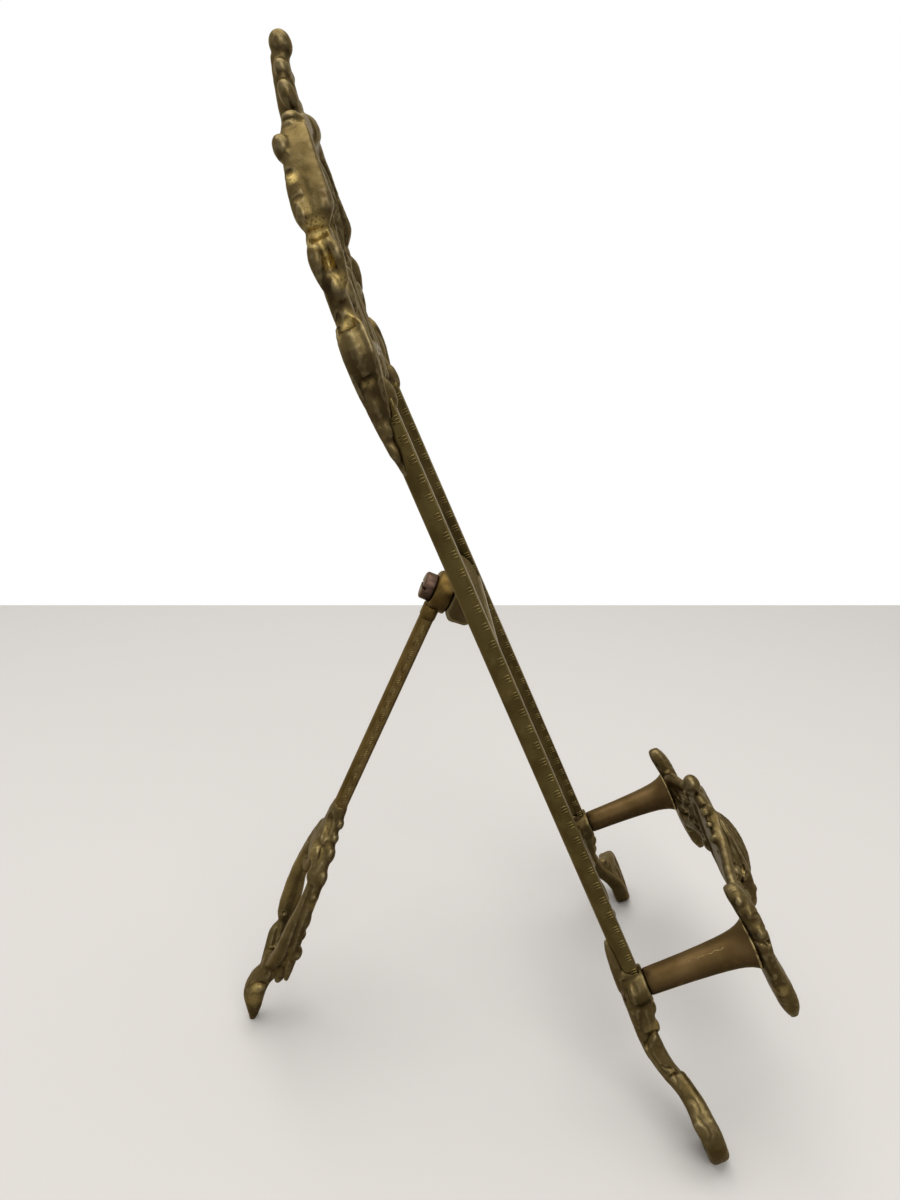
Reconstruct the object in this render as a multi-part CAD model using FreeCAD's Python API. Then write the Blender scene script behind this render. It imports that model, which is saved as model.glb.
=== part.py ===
import FreeCAD, Part
import math
import os
from FreeCAD import Vector

# Table easel of cast brass in the rococo manner: a leaning frame of two milled rails
# between a pierced crest and two scrolled feet, two turned arms that carry a pierced
# gallery, and a rear leg that swivels on one screw. Millimetres, +Z up, front towards -Y.
#
# The frame is drawn in its own plane and leaned back at the end. There a point is
# (across, up, out): across from the middle, up along the frame from the floor line, and
# out in front of the rails' front faces. The rear leg is drawn the same way about its
# screw: (across, down the leg, back from the face that it turns on).

# Frame
LEAN = 22.85                 # degrees the frame leans back
RAIL_WIDTH = 6.6             # across the front face of a rail
RAIL_DEPTH = 6.0             # front to back
RAIL_FLAT = 2.8              # straight part of a rail's side, before its round back
RAIL_TAPER = 3.4             # degrees each rail leans in
RAIL_LENGTH = 205.0

# Arms and what they stand on
ARM_SPREAD = 49.4            # middle of the stand to an arm's axis
ARM_HEIGHT = 60.0            # up the frame to the arms' axes
ARM_REACH = 37.6             # length of an arm
ARM_RADIUS = 4.6             # at the frame
ARM_SWELL = 5.4              # radius before the flare
ARM_FLARE = 8.6              # radius at the gallery
ARM_FLARE_LENGTH = 8.0
BOSS_RADIUS = 6.4            # seat of an arm on the foot
BOSS_PROUD = 1.0             # how far the seat stands out
RAIL_ABOVE_ARM = 7.2         # an arm's axis to the lower end of the rail

# Rear leg
PIVOT_HEIGHT = 199.9         # up the frame to the screw, where it crosses the leg's seat
PIVOT_BACK = 10.8            # behind the rails' front faces
PIVOT_RISE = 24.0            # degrees the screw points up, backwards
LEG_HEAD_RADIUS = 7.2
LEG_HEAD_THICKNESS = 6.2
STRUT_WIDTH = 7.4
STRUT_THICKNESS = 5.3
STRUT_FRONT = 1.7            # leg's seat to the strut's front face
STRUT_LENGTH = 93.0          # screw to the scrolled foot
TOE_LENGTH = 198.0           # screw to the end of the toe

# Fasteners
PIVOT_SCREW_RADIUS = 2.5     # M5
PIVOT_SCREW_LENGTH = 16.0
PIVOT_HEAD_RADIUS = 4.9
PIVOT_HEAD_HEIGHT = 4.1
PIVOT_CLEARANCE = 0.06       # round the screw in the leg
PIVOT_PLAY = 0.1             # along the screw, on each side of the leg's head
ARM_SCREW_RADIUS = 2.0       # M4, countersunk
ARM_SCREW_LENGTH = 20.0
ARM_SCREW_HEAD_RADIUS = 3.9
ARM_SCREW_HEAD_HEIGHT = 2.2
ARM_SCREW_CLEARANCE = 0.15
SLOT_WIDTH = 1.0
SLOT_DEPTH = 1.2

# Cross bar
BAR_BELOW_PIVOT = 11.3       # lower edge of the bar below the screw, up the frame
BAR_BOTTOM = PIVOT_HEIGHT - BAR_BELOW_PIVOT
BAR_RISE = 14.0              # height of the bar
BAR_RIM = 2.4                # flat rim along the lower front
BAR_CROWN = 4.6              # how far the fluted front falls back to its top edge
LUG_WIDTH = 12.5
LUG_DROP = 7.4               # screw axis to the lug's lower end, down the leg

# Crest
CREST_HEIGHT = 103.0         # top of the rails to the top of the finial ball
CREST_CURL = 12.5            # how far the crest's top bends forward
CREST_RISE_START = 10.0      # how far below the rails' tops the bend starts

# Gallery
GALLERY_BOW = 5.2            # how far its middle stands in front of its ends
SHELL_WIDTH = 26.0
SHELL_HEIGHT = 42.0
SHELL_CROWN = 11.6

LEAN_RAD = math.radians(LEAN)
TAPER = math.tan(math.radians(RAIL_TAPER))
RAIL_START = ARM_HEIGHT + RAIL_ABOVE_ARM
RAIL_TOP = RAIL_START + RAIL_LENGTH * math.cos(math.radians(RAIL_TAPER))
GALLERY_BACK = BOSS_PROUD + ARM_REACH
FLOOR_CUT = 60.0
TURNED_SIDES = 18

# The cast pieces are drawn at these sizes, and their layouts stretch with the names above.
DRAWN_ARM_HEIGHT = 60.0
DRAWN_ARM_SPREAD = 49.4
DRAWN_CREST_HEIGHT = 103.0
DRAWN_CREST_FOOT = 36.8      # middle of the stand to a rail's top
DRAWN_SHELL_WIDTH = 26.0
DRAWN_SHELL_HEIGHT = 42.0
DRAWN_SCROLLS = 105.0        # length of the leg below the strut


def rail_across(up):
    """Distance of a rail's middle from the middle of the stand."""
    return ARM_SPREAD - (up - ARM_HEIGHT) * TAPER


def frame_point(across, up, out):
    return Vector(across, -out, up)


def lean(shape):
    """Leans a shape of the frame's plane back."""
    shape = shape.copy()
    shape.rotate(Vector(0, 0, 0), Vector(1, 0, 0), -LEAN)
    return shape


def mirrored(shape):
    return shape.mirror(Vector(0, 0, 0), Vector(1, 0, 0))


def fused(shapes):
    """One solid of all the shapes, which have to meet."""
    result = shapes[0].multiFuse(shapes[1:]) if len(shapes) > 1 else shapes[0]
    solids = result.Solids
    if len(solids) != 1:
        raise ValueError("%d solids where one was meant" % len(solids))
    return solids[0]


def largest(shape):
    return max(shape.Solids, key=lambda solid: solid.Volume)


def carved(rings):
    """Solid between rings of corners, with flat facets like a hand-chased casting."""
    count = len(rings[0])
    faces = []
    for low, high in zip(rings, rings[1:]):
        for index in range(count):
            other = (index + 1) % count
            faces.append(Part.Face(Part.makePolygon([low[index], low[other], high[other], low[index]])))
            faces.append(Part.Face(Part.makePolygon([low[index], high[other], high[index], low[index]])))
    for ring in (rings[0], rings[-1]):
        faces.append(Part.Face(Part.makePolygon(ring + [ring[0]])))
    solid = Part.Solid(Part.Shell(faces))
    if solid.Volume < 0:
        solid.reverse()
    return solid


def section(point, place, along, half, back, front, corner):
    """Corners across a cast bar: six for a keeled one, or eight where corner says how square."""
    across = (along[1], -along[0])
    middle = (back + front) / 2.0
    depth = (front - back) / 2.0
    if corner is None:
        corners = [(1, 0), (0.6, 1), (-0.6, 1), (-1, 0), (-0.6, -1), (0.6, -1)]
    else:
        corners = [(1, -corner), (1, corner), (corner, 1), (-corner, 1),
                   (-1, corner), (-1, -corner), (-corner, -1), (corner, -1)]
    return [point(place[0] + across[0] * half * a, place[1] + across[1] * half * a,
                  middle + depth * b) for a, b in corners]


def bar(point, stations, corner=None, shift=lambda across, up: 0.0):
    """Cast bar through stations of (across, up, half width, back, front)."""
    rings = []
    last = len(stations) - 1
    for index, (across, up, half, back, front) in enumerate(stations):
        before = stations[max(index - 1, 0)]
        after = stations[min(index + 1, last)]
        dx, dy = after[0] - before[0], after[1] - before[1]
        length = math.hypot(dx, dy)
        offset = shift(across, up)
        rings.append(section(point, (across, up), (dx / length, dy / length), half,
                             back + offset, front + offset, corner))
    return carved(rings)


def bead(point, across, up, out, radius, tall=None, deep=None):
    """Rounded lump, longer up the piece or deeper where that is asked for."""
    tall = tall or radius
    deep = deep or radius
    rings = []
    for share, width in ((-0.94, 0.34), (-0.45, 0.9), (0.45, 0.9), (0.94, 0.34)):
        angles = [math.radians(60 * index + 30) for index in range(6)]
        rings.append([point(across + radius * width * math.cos(angle), up + tall * share,
                            out + deep * width * math.sin(angle)) for angle in angles])
    return carved(rings)


def dome(point, across, up, out, radius, tall, deep):
    """Flat-backed swelling, such as a shell's body."""
    rings = []
    for share in (-0.95, -0.7, -0.25, 0.3, 0.72, 0.95):
        width = math.sqrt(1 - share ** 2)
        angles = [math.radians(22.5 * index) for index in range(1, 8)]
        ring = [point(across + radius * width, up + tall * share, out)]
        ring += [point(across + radius * width * math.cos(angle), up + tall * share,
                       out + deep * width * math.sin(angle)) for angle in angles[::2]]
        rings.append(ring + [point(across - radius * width, up + tall * share, out)])
    return carved(rings)


def disc(point, across, up, back, front, radius):
    """Round boss that stands along the out direction."""
    base = point(across, up, back)
    axis = point(across, up, front) - base
    return Part.makeCylinder(radius, axis.Length, base, axis)


def turned(profile, base, axis):
    """Turned solid of (distance, radius) pairs, with TURNED_SIDES flats round it."""
    rotation = FreeCAD.Rotation(Vector(0, 0, 1), axis)
    rings = []
    for distance, radius in profile:
        angles = [math.radians(360.0 * index / TURNED_SIDES) for index in range(TURNED_SIDES)]
        rings.append([base + rotation.multVec(Vector(radius * math.cos(angle), radius * math.sin(angle),
                                                     distance)) for angle in angles])
    return carved(rings)


# Rails

def rail():
    """Right rail: flat front, straight sides and a round back."""
    half = RAIL_WIDTH / 2.0
    corners = [Vector(-half, 0, 0), Vector(half, 0, 0),
               Vector(half, RAIL_FLAT, 0), Vector(-half, RAIL_FLAT, 0)]
    edges = [Part.LineSegment(corners[0], corners[1]).toShape(),
             Part.LineSegment(corners[1], corners[2]).toShape(),
             Part.Arc(corners[2], Vector(0, RAIL_DEPTH, 0), corners[3]).toShape(),
             Part.LineSegment(corners[3], corners[0]).toShape()]
    solid = Part.Face(Part.Wire(edges)).extrude(Vector(0, 0, RAIL_LENGTH))
    solid.rotate(Vector(0, 0, 0), Vector(0, 1, 0), -RAIL_TAPER)
    solid.translate(Vector(rail_across(RAIL_START), 0, RAIL_START))
    return solid


# Feet

def foot(rail_solid):
    """Right foot: arm seat, back leaf and a splayed S that ends in an upturned scroll."""
    top = rail_across(RAIL_START)
    seat = ARM_HEIGHT
    rise = ARM_HEIGHT / DRAWN_ARM_HEIGHT
    drawn = [
        (0.0, 60.0, 4.1, -8.9, 0.0),
        (0.8, 52.0, 4.2, -9.2, -0.2),
        (2.0, 45.0, 3.7, -9.4, -1.9),
        (4.2, 37.6, 3.4, -9.2, -1.9),
        (7.2, 29.6, 3.2, -7.4, -0.9),
        (10.4, 21.2, 3.1, -5.0, 1.2),
        (12.9, 13.8, 3.2, -3.3, 2.8),
        (14.4, 7.8, 3.2, -3.0, 3.6),
        (17.0, 3.1, 3.3, -3.2, 3.9),
        (20.8, 2.4, 3.3, -3.3, 3.8),
        (24.2, 6.2, 3.1, -3.3, 3.6),
        (26.0, 12.2, 2.8, -3.3, 3.4),
        (26.0, 18.0, 2.4, -2.9, 3.0),
        (24.4, 22.0, 1.5, -1.8, 2.0),
    ]
    stations = [(top, RAIL_START, 3.6, -8.3, -0.2)]
    stations += [(ARM_SPREAD + across, up * rise, half, back, front)
                 for across, up, half, back, front in drawn]
    leaf = [
        (top + 0.2, RAIL_START - 6, 2.6, -9.3, -5.0),
        (top - 0.1, RAIL_START + 1, 2.8, -8.9, -4.6),
        (top - 0.7, RAIL_START + 8, 2.4, -8.2, -4.4),
        (top - 1.2, RAIL_START + 13, 1.0, -7.2, -5.0),
    ]
    pieces = [
        bar(frame_point, stations, 0.55),
        bar(frame_point, leaf),
        turned([(0, BOSS_RADIUS), (6.0 + BOSS_PROUD, BOSS_RADIUS)],
               frame_point(ARM_SPREAD, seat, -6.0), Vector(0, -1, 0)),
        bead(frame_point, ARM_SPREAD + 0.7, seat - 10, -1.6, 2.7, 3.2),
        bead(frame_point, ARM_SPREAD + 24.0, 20.0 * rise, 0.2, 2.6, 2.8, 2.8),
    ]
    solid = fused(pieces).cut(rail_solid)
    for hole in arm_screw_holes(ARM_SCREW_RADIUS + ARM_SCREW_CLEARANCE):
        solid = solid.cut(hole)
    return largest(solid)


def arm_screw_seat():
    """Depth of the screw head's outer face behind the rails' front faces."""
    return -8.3


def arm_screw_holes(radius):
    """Bore and countersink for an arm's screw, from the back of the foot."""
    back = arm_screw_seat()
    bore = disc(frame_point, ARM_SPREAD, ARM_HEIGHT, back - 4, BOSS_PROUD + 1, radius)
    flat = disc(frame_point, ARM_SPREAD, ARM_HEIGHT, back - 4, back, ARM_SCREW_HEAD_RADIUS)
    cone = turned([(0, ARM_SCREW_HEAD_RADIUS), (ARM_SCREW_HEAD_HEIGHT, ARM_SCREW_RADIUS)],
                  frame_point(ARM_SPREAD, ARM_HEIGHT, back), Vector(0, -1, 0))
    return [bore, flat, cone]


# Arms

def arm():
    """Right arm: a tapered post that flares where it carries the gallery."""
    flare = ARM_REACH - ARM_FLARE_LENGTH
    rise = ARM_FLARE - ARM_SWELL
    profile = [(0.0, ARM_RADIUS - 0.5), (0.5, ARM_RADIUS), (flare * 0.4, ARM_RADIUS + 0.15),
               (flare, ARM_SWELL)]
    steps = 5
    for step in range(1, steps + 1):
        share = step / steps
        profile.append((flare + ARM_FLARE_LENGTH * share,
                        ARM_SWELL + rise * (1 - math.sqrt(1 - share ** 2))))
    post = turned(profile, frame_point(ARM_SPREAD, ARM_HEIGHT, BOSS_PROUD), Vector(0, -1, 0))
    depth = ARM_SCREW_LENGTH + arm_screw_seat() + 2.0
    return post.cut(disc(frame_point, ARM_SPREAD, ARM_HEIGHT, 0.0, depth, ARM_SCREW_RADIUS))


def arm_screw():
    """Countersunk screw that holds an arm from behind the foot."""
    back = arm_screw_seat()
    head = turned([(0, ARM_SCREW_HEAD_RADIUS), (ARM_SCREW_HEAD_HEIGHT, ARM_SCREW_RADIUS)],
                  frame_point(ARM_SPREAD, ARM_HEIGHT, back), Vector(0, -1, 0))
    shank = disc(frame_point, ARM_SPREAD, ARM_HEIGHT, back + ARM_SCREW_HEAD_HEIGHT,
                 back + ARM_SCREW_LENGTH, ARM_SCREW_RADIUS)
    slot = Part.makeBox(3 * ARM_SCREW_HEAD_RADIUS, SLOT_DEPTH, SLOT_WIDTH)
    slot.translate(frame_point(ARM_SPREAD - 1.5 * ARM_SCREW_HEAD_RADIUS,
                               ARM_HEIGHT - SLOT_WIDTH / 2, back + SLOT_DEPTH))
    return head.fuse(shank).cut(slot)


# Cross bar with the leg's lug

def leg_axes():
    """Screw's direction, the leg's direction, and where they cross, in the frame's plane."""
    angle = math.radians(PIVOT_RISE) + LEAN_RAD
    axis = frame_point(0, math.sin(angle), -math.cos(angle))
    down = frame_point(0, -math.cos(angle), -math.sin(angle))
    centre = frame_point(0, PIVOT_HEIGHT, -PIVOT_BACK)
    return centre, down, axis


def leg_point(across, down, back):
    """Point of the leg's own layout, in the frame's plane."""
    centre, along, axis = leg_axes()
    return centre + Vector(across, 0, 0) + along * down + axis * back


def cross_bar(rails):
    """Moulded bar between the rails, with the lug that the leg is screwed to."""
    top = BAR_BOTTOM + BAR_RISE
    rim = BAR_BOTTOM + BAR_RIM
    width = rail_across(BAR_BOTTOM)
    profile = [(BAR_BOTTOM, -RAIL_DEPTH), (BAR_BOTTOM, -0.3), (rim, -0.3)]
    for share in (0.0, 0.25, 0.5, 0.75, 1.0):
        angle = math.radians(90 * share)
        profile.append((rim + 0.4 + (top - rim - 0.4) * math.sin(angle),
                        -0.9 - BAR_CROWN * (1 - math.cos(angle))))
    profile.append((top, -RAIL_DEPTH))
    points = [frame_point(-width, up, out) for up, out in profile]
    body = Part.Face(Part.makePolygon(points + [points[0]])).extrude(Vector(2 * width, 0, 0))
    solid = fused([body, lug()])
    hole = Part.makeCylinder(PIVOT_SCREW_RADIUS, pivot_screw_depth() + 1.0 + PIVOT_PLAY,
                             leg_point(0, 0, PIVOT_PLAY), leg_point(0, 0, -1) - leg_point(0, 0, 0))
    solid = solid.cut(hole)
    for rail_solid in rails:
        solid = solid.cut(rail_solid)
    return largest(solid)


def pivot_screw_depth():
    """How far the pivot screw goes into the lug, past the leg's seat."""
    return PIVOT_SCREW_LENGTH - LEG_HEAD_THICKNESS - 2 * PIVOT_PLAY


def lug():
    """Wedge behind the cross bar whose face is square to the pivot screw."""
    half = LUG_WIDTH / 2.0
    face_low = leg_point(-half, LUG_DROP - 2.2, 0)
    corner = leg_point(-half, LUG_DROP, -2.2)
    face_high = leg_point(-half, -6.0, 0)
    front = RAIL_DEPTH - 1.2
    under = Vector(-half, RAIL_DEPTH + 4.2, BAR_BOTTOM + 0.7)
    points = [face_high, face_low, corner, under,
              Vector(-half, front, BAR_BOTTOM + 0.4),
              Vector(-half, front, BAR_BOTTOM + BAR_RISE - 1.0)]
    wedge = Part.Face(Part.makePolygon(points + [points[0]])).extrude(Vector(LUG_WIDTH, 0, 0))
    edges = [edge for edge in wedge.Edges
             if abs(edge.Length - LUG_WIDTH) < 1e-6 and edge.Vertexes[0].Point.y > RAIL_DEPTH + 3]
    return wedge.makeFillet(1.2, edges)


# Apron between the feet

def apron(feet):
    """Scrolled link between the feet, with a smooth boss and a drop in its middle."""
    base = ARM_HEIGHT
    wide = ARM_SPREAD / DRAWN_ARM_SPREAD
    drawn = [
        (48.4, -2.0, 3.2, -7.4, -3.4),
        (41.0, 2.8, 3.0, -7.4, -3.2),
        (32.0, 4.0, 2.8, -7.4, -3.2),
        (23.0, 1.2, 2.8, -7.4, -3.2),
        (15.6, -3.0, 3.0, -7.4, -3.0),
        (9.6, -2.6, 3.1, -7.4, -2.6),
        (4.4, 0.5, 3.2, -7.4, -2.2),
    ]
    curl = [
        (30.0, 3.0, 2.2, -6.8, -3.4),
        (27.0, -3.4, 2.2, -6.8, -3.2),
        (31.0, -7.4, 2.0, -6.6, -3.2),
        (35.2, -5.2, 1.5, -6.2, -3.6),
    ]
    side = [
        bar(frame_point, [(across * wide, base + up, half, back, front)
                          for across, up, half, back, front in drawn]),
        bar(frame_point, [(across * wide, base + up, half, back, front)
                          for across, up, half, back, front in curl]),
        bead(frame_point, 14.4 * wide, base - 7.0, -5.0, 3.2, 3.4, 2.2),
    ]
    pieces = side + [mirrored(shape) for shape in side] + [
        bead(frame_point, 0, base + 0.6, -4.6, 9.6, 5.2, 3.1),
        bar(frame_point, [(0, base - 2, 2.4, -6.6, -2.6), (0, base - 5, 1.6, -6.0, -3.0),
                          (0, base - 8.5, 1.7, -6.2, -3.0)]),
        bead(frame_point, 0, base - 9.8, -4.4, 2.7),
    ]
    solid = fused(pieces)
    for foot_solid in feet:
        solid = solid.cut(foot_solid)
    return largest(solid)


# Crest

def crest_bend(up):
    """Forward bend of the crest's middle surface."""
    start = RAIL_TOP - CREST_RISE_START
    share = max(0.0, up - start) / (CREST_HEIGHT + CREST_RISE_START)
    return -RAIL_DEPTH / 2.0 + CREST_CURL * share ** 2


def crest_place(across, up):
    """Place in the frame's plane; up is drawn from the rails' tops."""
    spread = rail_across(RAIL_TOP) / DRAWN_CREST_FOOT
    return across * spread, RAIL_TOP + up * CREST_HEIGHT / DRAWN_CREST_HEIGHT


def crest_bar(stations, corner=None):
    lifted = [crest_place(across, up) + (half, back, front) for across, up, half, back, front in stations]
    return bar(frame_point, lifted, corner, lambda across, up: crest_bend(up))


def crest_lump(make, across, up, out, radius, tall, deep):
    """A bead or a dome of the crest."""
    across, lifted = crest_place(across, up)
    tall = (tall or radius) * CREST_HEIGHT / DRAWN_CREST_HEIGHT
    return make(frame_point, across, lifted, out + crest_bend(lifted), radius, tall, deep)


def crest_bead(across, up, out, radius, tall=None, deep=None):
    return crest_lump(bead, across, up, out, radius, tall, deep)


def crest_dome(across, up, out, radius, tall, deep):
    return crest_lump(dome, across, up, out, radius, tall, deep)


def crest(rails):
    """Pierced top: scrolls that rise off the rails to a shell and a plume."""
    x = DRAWN_CREST_FOOT
    top = DRAWN_CREST_HEIGHT
    side = [
        # stem over the end of the rail, rising into the flank
        crest_bar([(x + 0.2, 0, 4.3, -4.4, 2.2), (x + 0.4, 8, 5.2, -4.4, 2.0),
                   (x + 0.4, 16, 5.0, -4.4, 1.8), (x - 0.4, 26, 4.2, -4.6, 1.8),
                   (x - 1.0, 36, 4.2, -4.6, 1.8), (x - 1.6, 46, 4.6, -5.0, 4.4)], 0.5),
        # smooth lobe on the outside, and its curl
        crest_bead(x + 6.8, 13.8, -0.6, 5.6, 8.2, 4.1),
        crest_bead(x + 5.6, 6.6, -0.6, 3.4, 4.0, 3.2),
        # leaf that runs down the back of the rail
        crest_bar([(x + 1.5, 6, 3.6, -4.4, -0.4), (x + 2.6, -2, 3.0, -4.6, -1.0),
                   (x + 3.0, -12, 2.5, -4.0, -1.0), (x + 2.8, -21, 1.2, -2.9, -1.2)]),
        # leaf tip on the front of the rail
        crest_bead(x - 0.6, 1.6, 2.3, 3.2, 5.0, 2.3),
        # petals on the flank
        crest_bead(x + 3.0, 39.5, -2.4, 4.2, 5.6, 3.0),
        crest_bead(x + 2.6, 41.5, 1.0, 3.6, 4.4, 2.4),
        # upper lobe of the flank
        crest_bead(x + 1.6, 51.0, 0.4, 4.8, 6.8, 6.2),
        # plain band up to the head
        crest_bar([(x - 1.4, 46, 3.6, -5.6, 5.2), (x - 3.6, 56, 3.2, -5.8, 6.2),
                   (x - 5.4, 63, 3.1, -5.6, 5.6), (x - 8.8, 69, 3.1, -5.0, 4.8),
                   (x - 15.0, 73.8, 3.2, -4.0, 4.0), (x - 23.0, 76.4, 3.4, -3.2, 4.0),
                   (x - 31.0, 77.4, 3.4, -3.0, 3.8)], 0.7),
        # leaf tips along the band
        crest_bead(x - 3.4, 67.6, -4.4, 3.2, 4.8, 2.6),
        crest_bead(x - 8.4, 70.6, 2.6, 3.4, 5.0, 2.4),
        crest_bead(x - 16.0, 77.2, -0.6, 5.0, 3.8, 3.0),
        # leaf from the band towards the shell
        crest_bar([(x - 5.0, 62, 3.0, -3.6, 2.4), (x - 11.0, 61, 3.4, -3.4, 2.8),
                   (x - 17.0, 57, 3.2, -3.2, 3.0), (x - 23.0, 55, 2.4, -3.2, 2.8)]),
        # inner C scroll, from the rail to the shell
        crest_bar([(x - 3.0, 11, 3.0, -3.0, 2.2), (x - 9.6, 15, 3.2, -3.0, 2.6),
                   (x - 16.0, 22, 3.2, -3.0, 2.6), (x - 18.6, 31, 3.1, -3.0, 2.4),
                   (x - 16.0, 39.4, 3.1, -3.2, 2.2), (x - 9.0, 43.6, 3.1, -3.4, 2.2),
                   (x - 3.0, 41.6, 3.0, -3.6, 2.2)]),
        # its inner curl
        crest_bar([(x - 15.6, 31, 2.8, -2.8, 2.8), (x - 10.8, 33.4, 2.9, -2.8, 3.2),
                   (x - 8.4, 29.4, 2.6, -2.6, 3.0), (x - 10.6, 26.0, 1.8, -2.2, 2.4)]),
        # leaf up to the shell
        crest_bar([(x - 18.0, 34, 3.0, -3.0, 2.6), (x - 23.0, 41, 3.8, -3.0, 3.0),
                   (x - 26.0, 49, 3.6, -3.2, 3.0)]),
        # lower garland
        crest_bar([(x - 1.0, 4.6, 3.0, -3.2, 1.4), (x - 9.0, 4.2, 2.9, -3.0, 1.8),
                   (x - 16.5, 7.8, 2.9, -2.8, 2.4), (x - 24.0, 12.4, 3.0, -2.8, 2.8),
                   (x - 30.6, 13.6, 3.2, -2.8, 2.8), (x - 36.2, 13.4, 3.4, -2.8, 2.8)]),
        # leaf between the garland and the C scroll
        crest_bar([(x - 20.0, 10, 2.8, -2.6, 2.6), (x - 23.6, 19, 3.4, -2.6, 2.8),
                   (x - 27.4, 28, 2.8, -2.6, 2.6), (x - 32.0, 33, 1.8, -2.4, 2.4)]),
        # plume lobes
        crest_bead(7.0, top - 16.6, -1.6, 3.6, 5.0, 2.7),
        crest_bead(4.4, top - 9.6, -1.7, 2.9, 3.6, 2.6),
    ]
    middle = [
        # shell and the field behind it
        crest_dome(0, 57, 0.0, 14.5, 17.0, 5.2),
        crest_bar([(0, 38, 5.0, -2.6, 2.2), (0, 46, 10.5, -3.2, 2.2), (0, 60, 15.5, -3.8, 3.0),
                   (0, 72, 14.0, -3.8, 3.2), (0, 78, 9.0, -3.4, 2.8)], 0.55),
        crest_bead(0, 37, -0.2, 5.0, 4.8, 3.2),
        crest_bead(0, 76.0, 0.4, 9.5, 4.8, 4.6),
        # stem of the plume, and its ball
        crest_bar([(0, top - 28.0, 6.4, -3.6, 2.2), (0, top - 16.0, 4.2, -3.6, 0.8),
                   (0, top - 5.0, 2.5, -3.2, 1.0)]),
        crest_bead(0, top - 2.6, -0.4, 3.7, 4.2, 3.3),
        # drop under the garland
        crest_bead(0, 8.8, 0.2, 3.6, 5.6, 2.8),
        crest_bar([(0, 13, 4.2, -2.6, 2.8), (0, 24, 3.0, -2.6, 2.8), (0, 36, 3.4, -2.6, 2.8)]),
    ]
    solid = fused(side + [mirrored(shape) for shape in side] + middle)
    for rail_solid in rails:
        solid = solid.cut(rail_solid)
    return largest(solid)


# Gallery

def gallery_bow(across):
    share = min(1.0, abs(across) / (ARM_SPREAD - 8.0))
    return GALLERY_BACK + GALLERY_BOW * (1 - share ** 2)


def gallery_bar(stations, corner=None):
    """Bar of the gallery; up is measured from the arms' axes."""
    lifted = [(across, up + ARM_HEIGHT, half, back, front) for across, up, half, back, front in stations]
    return bar(frame_point, lifted, corner, lambda across, up: gallery_bow(across))


def gallery_bead(across, up, out, radius, tall=None, deep=None):
    return bead(frame_point, across, up + ARM_HEIGHT, out + gallery_bow(across), radius, tall, deep)


def gallery_dome(across, up, out, radius, tall, deep):
    return dome(frame_point, across, up + ARM_HEIGHT, out + gallery_bow(across), radius, tall, deep)


def gallery_links(stations, half):
    """Link whose stations are drawn inward from the arm's axis; ends just inside the shell."""
    reach = (ARM_SPREAD - half + 5.6) / (DRAWN_ARM_SPREAD - DRAWN_SHELL_WIDTH / 2.0 + 5.6)
    return gallery_bar([(ARM_SPREAD - inward * reach, up, width, back, front)
                        for inward, up, width, back, front in stations])


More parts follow.
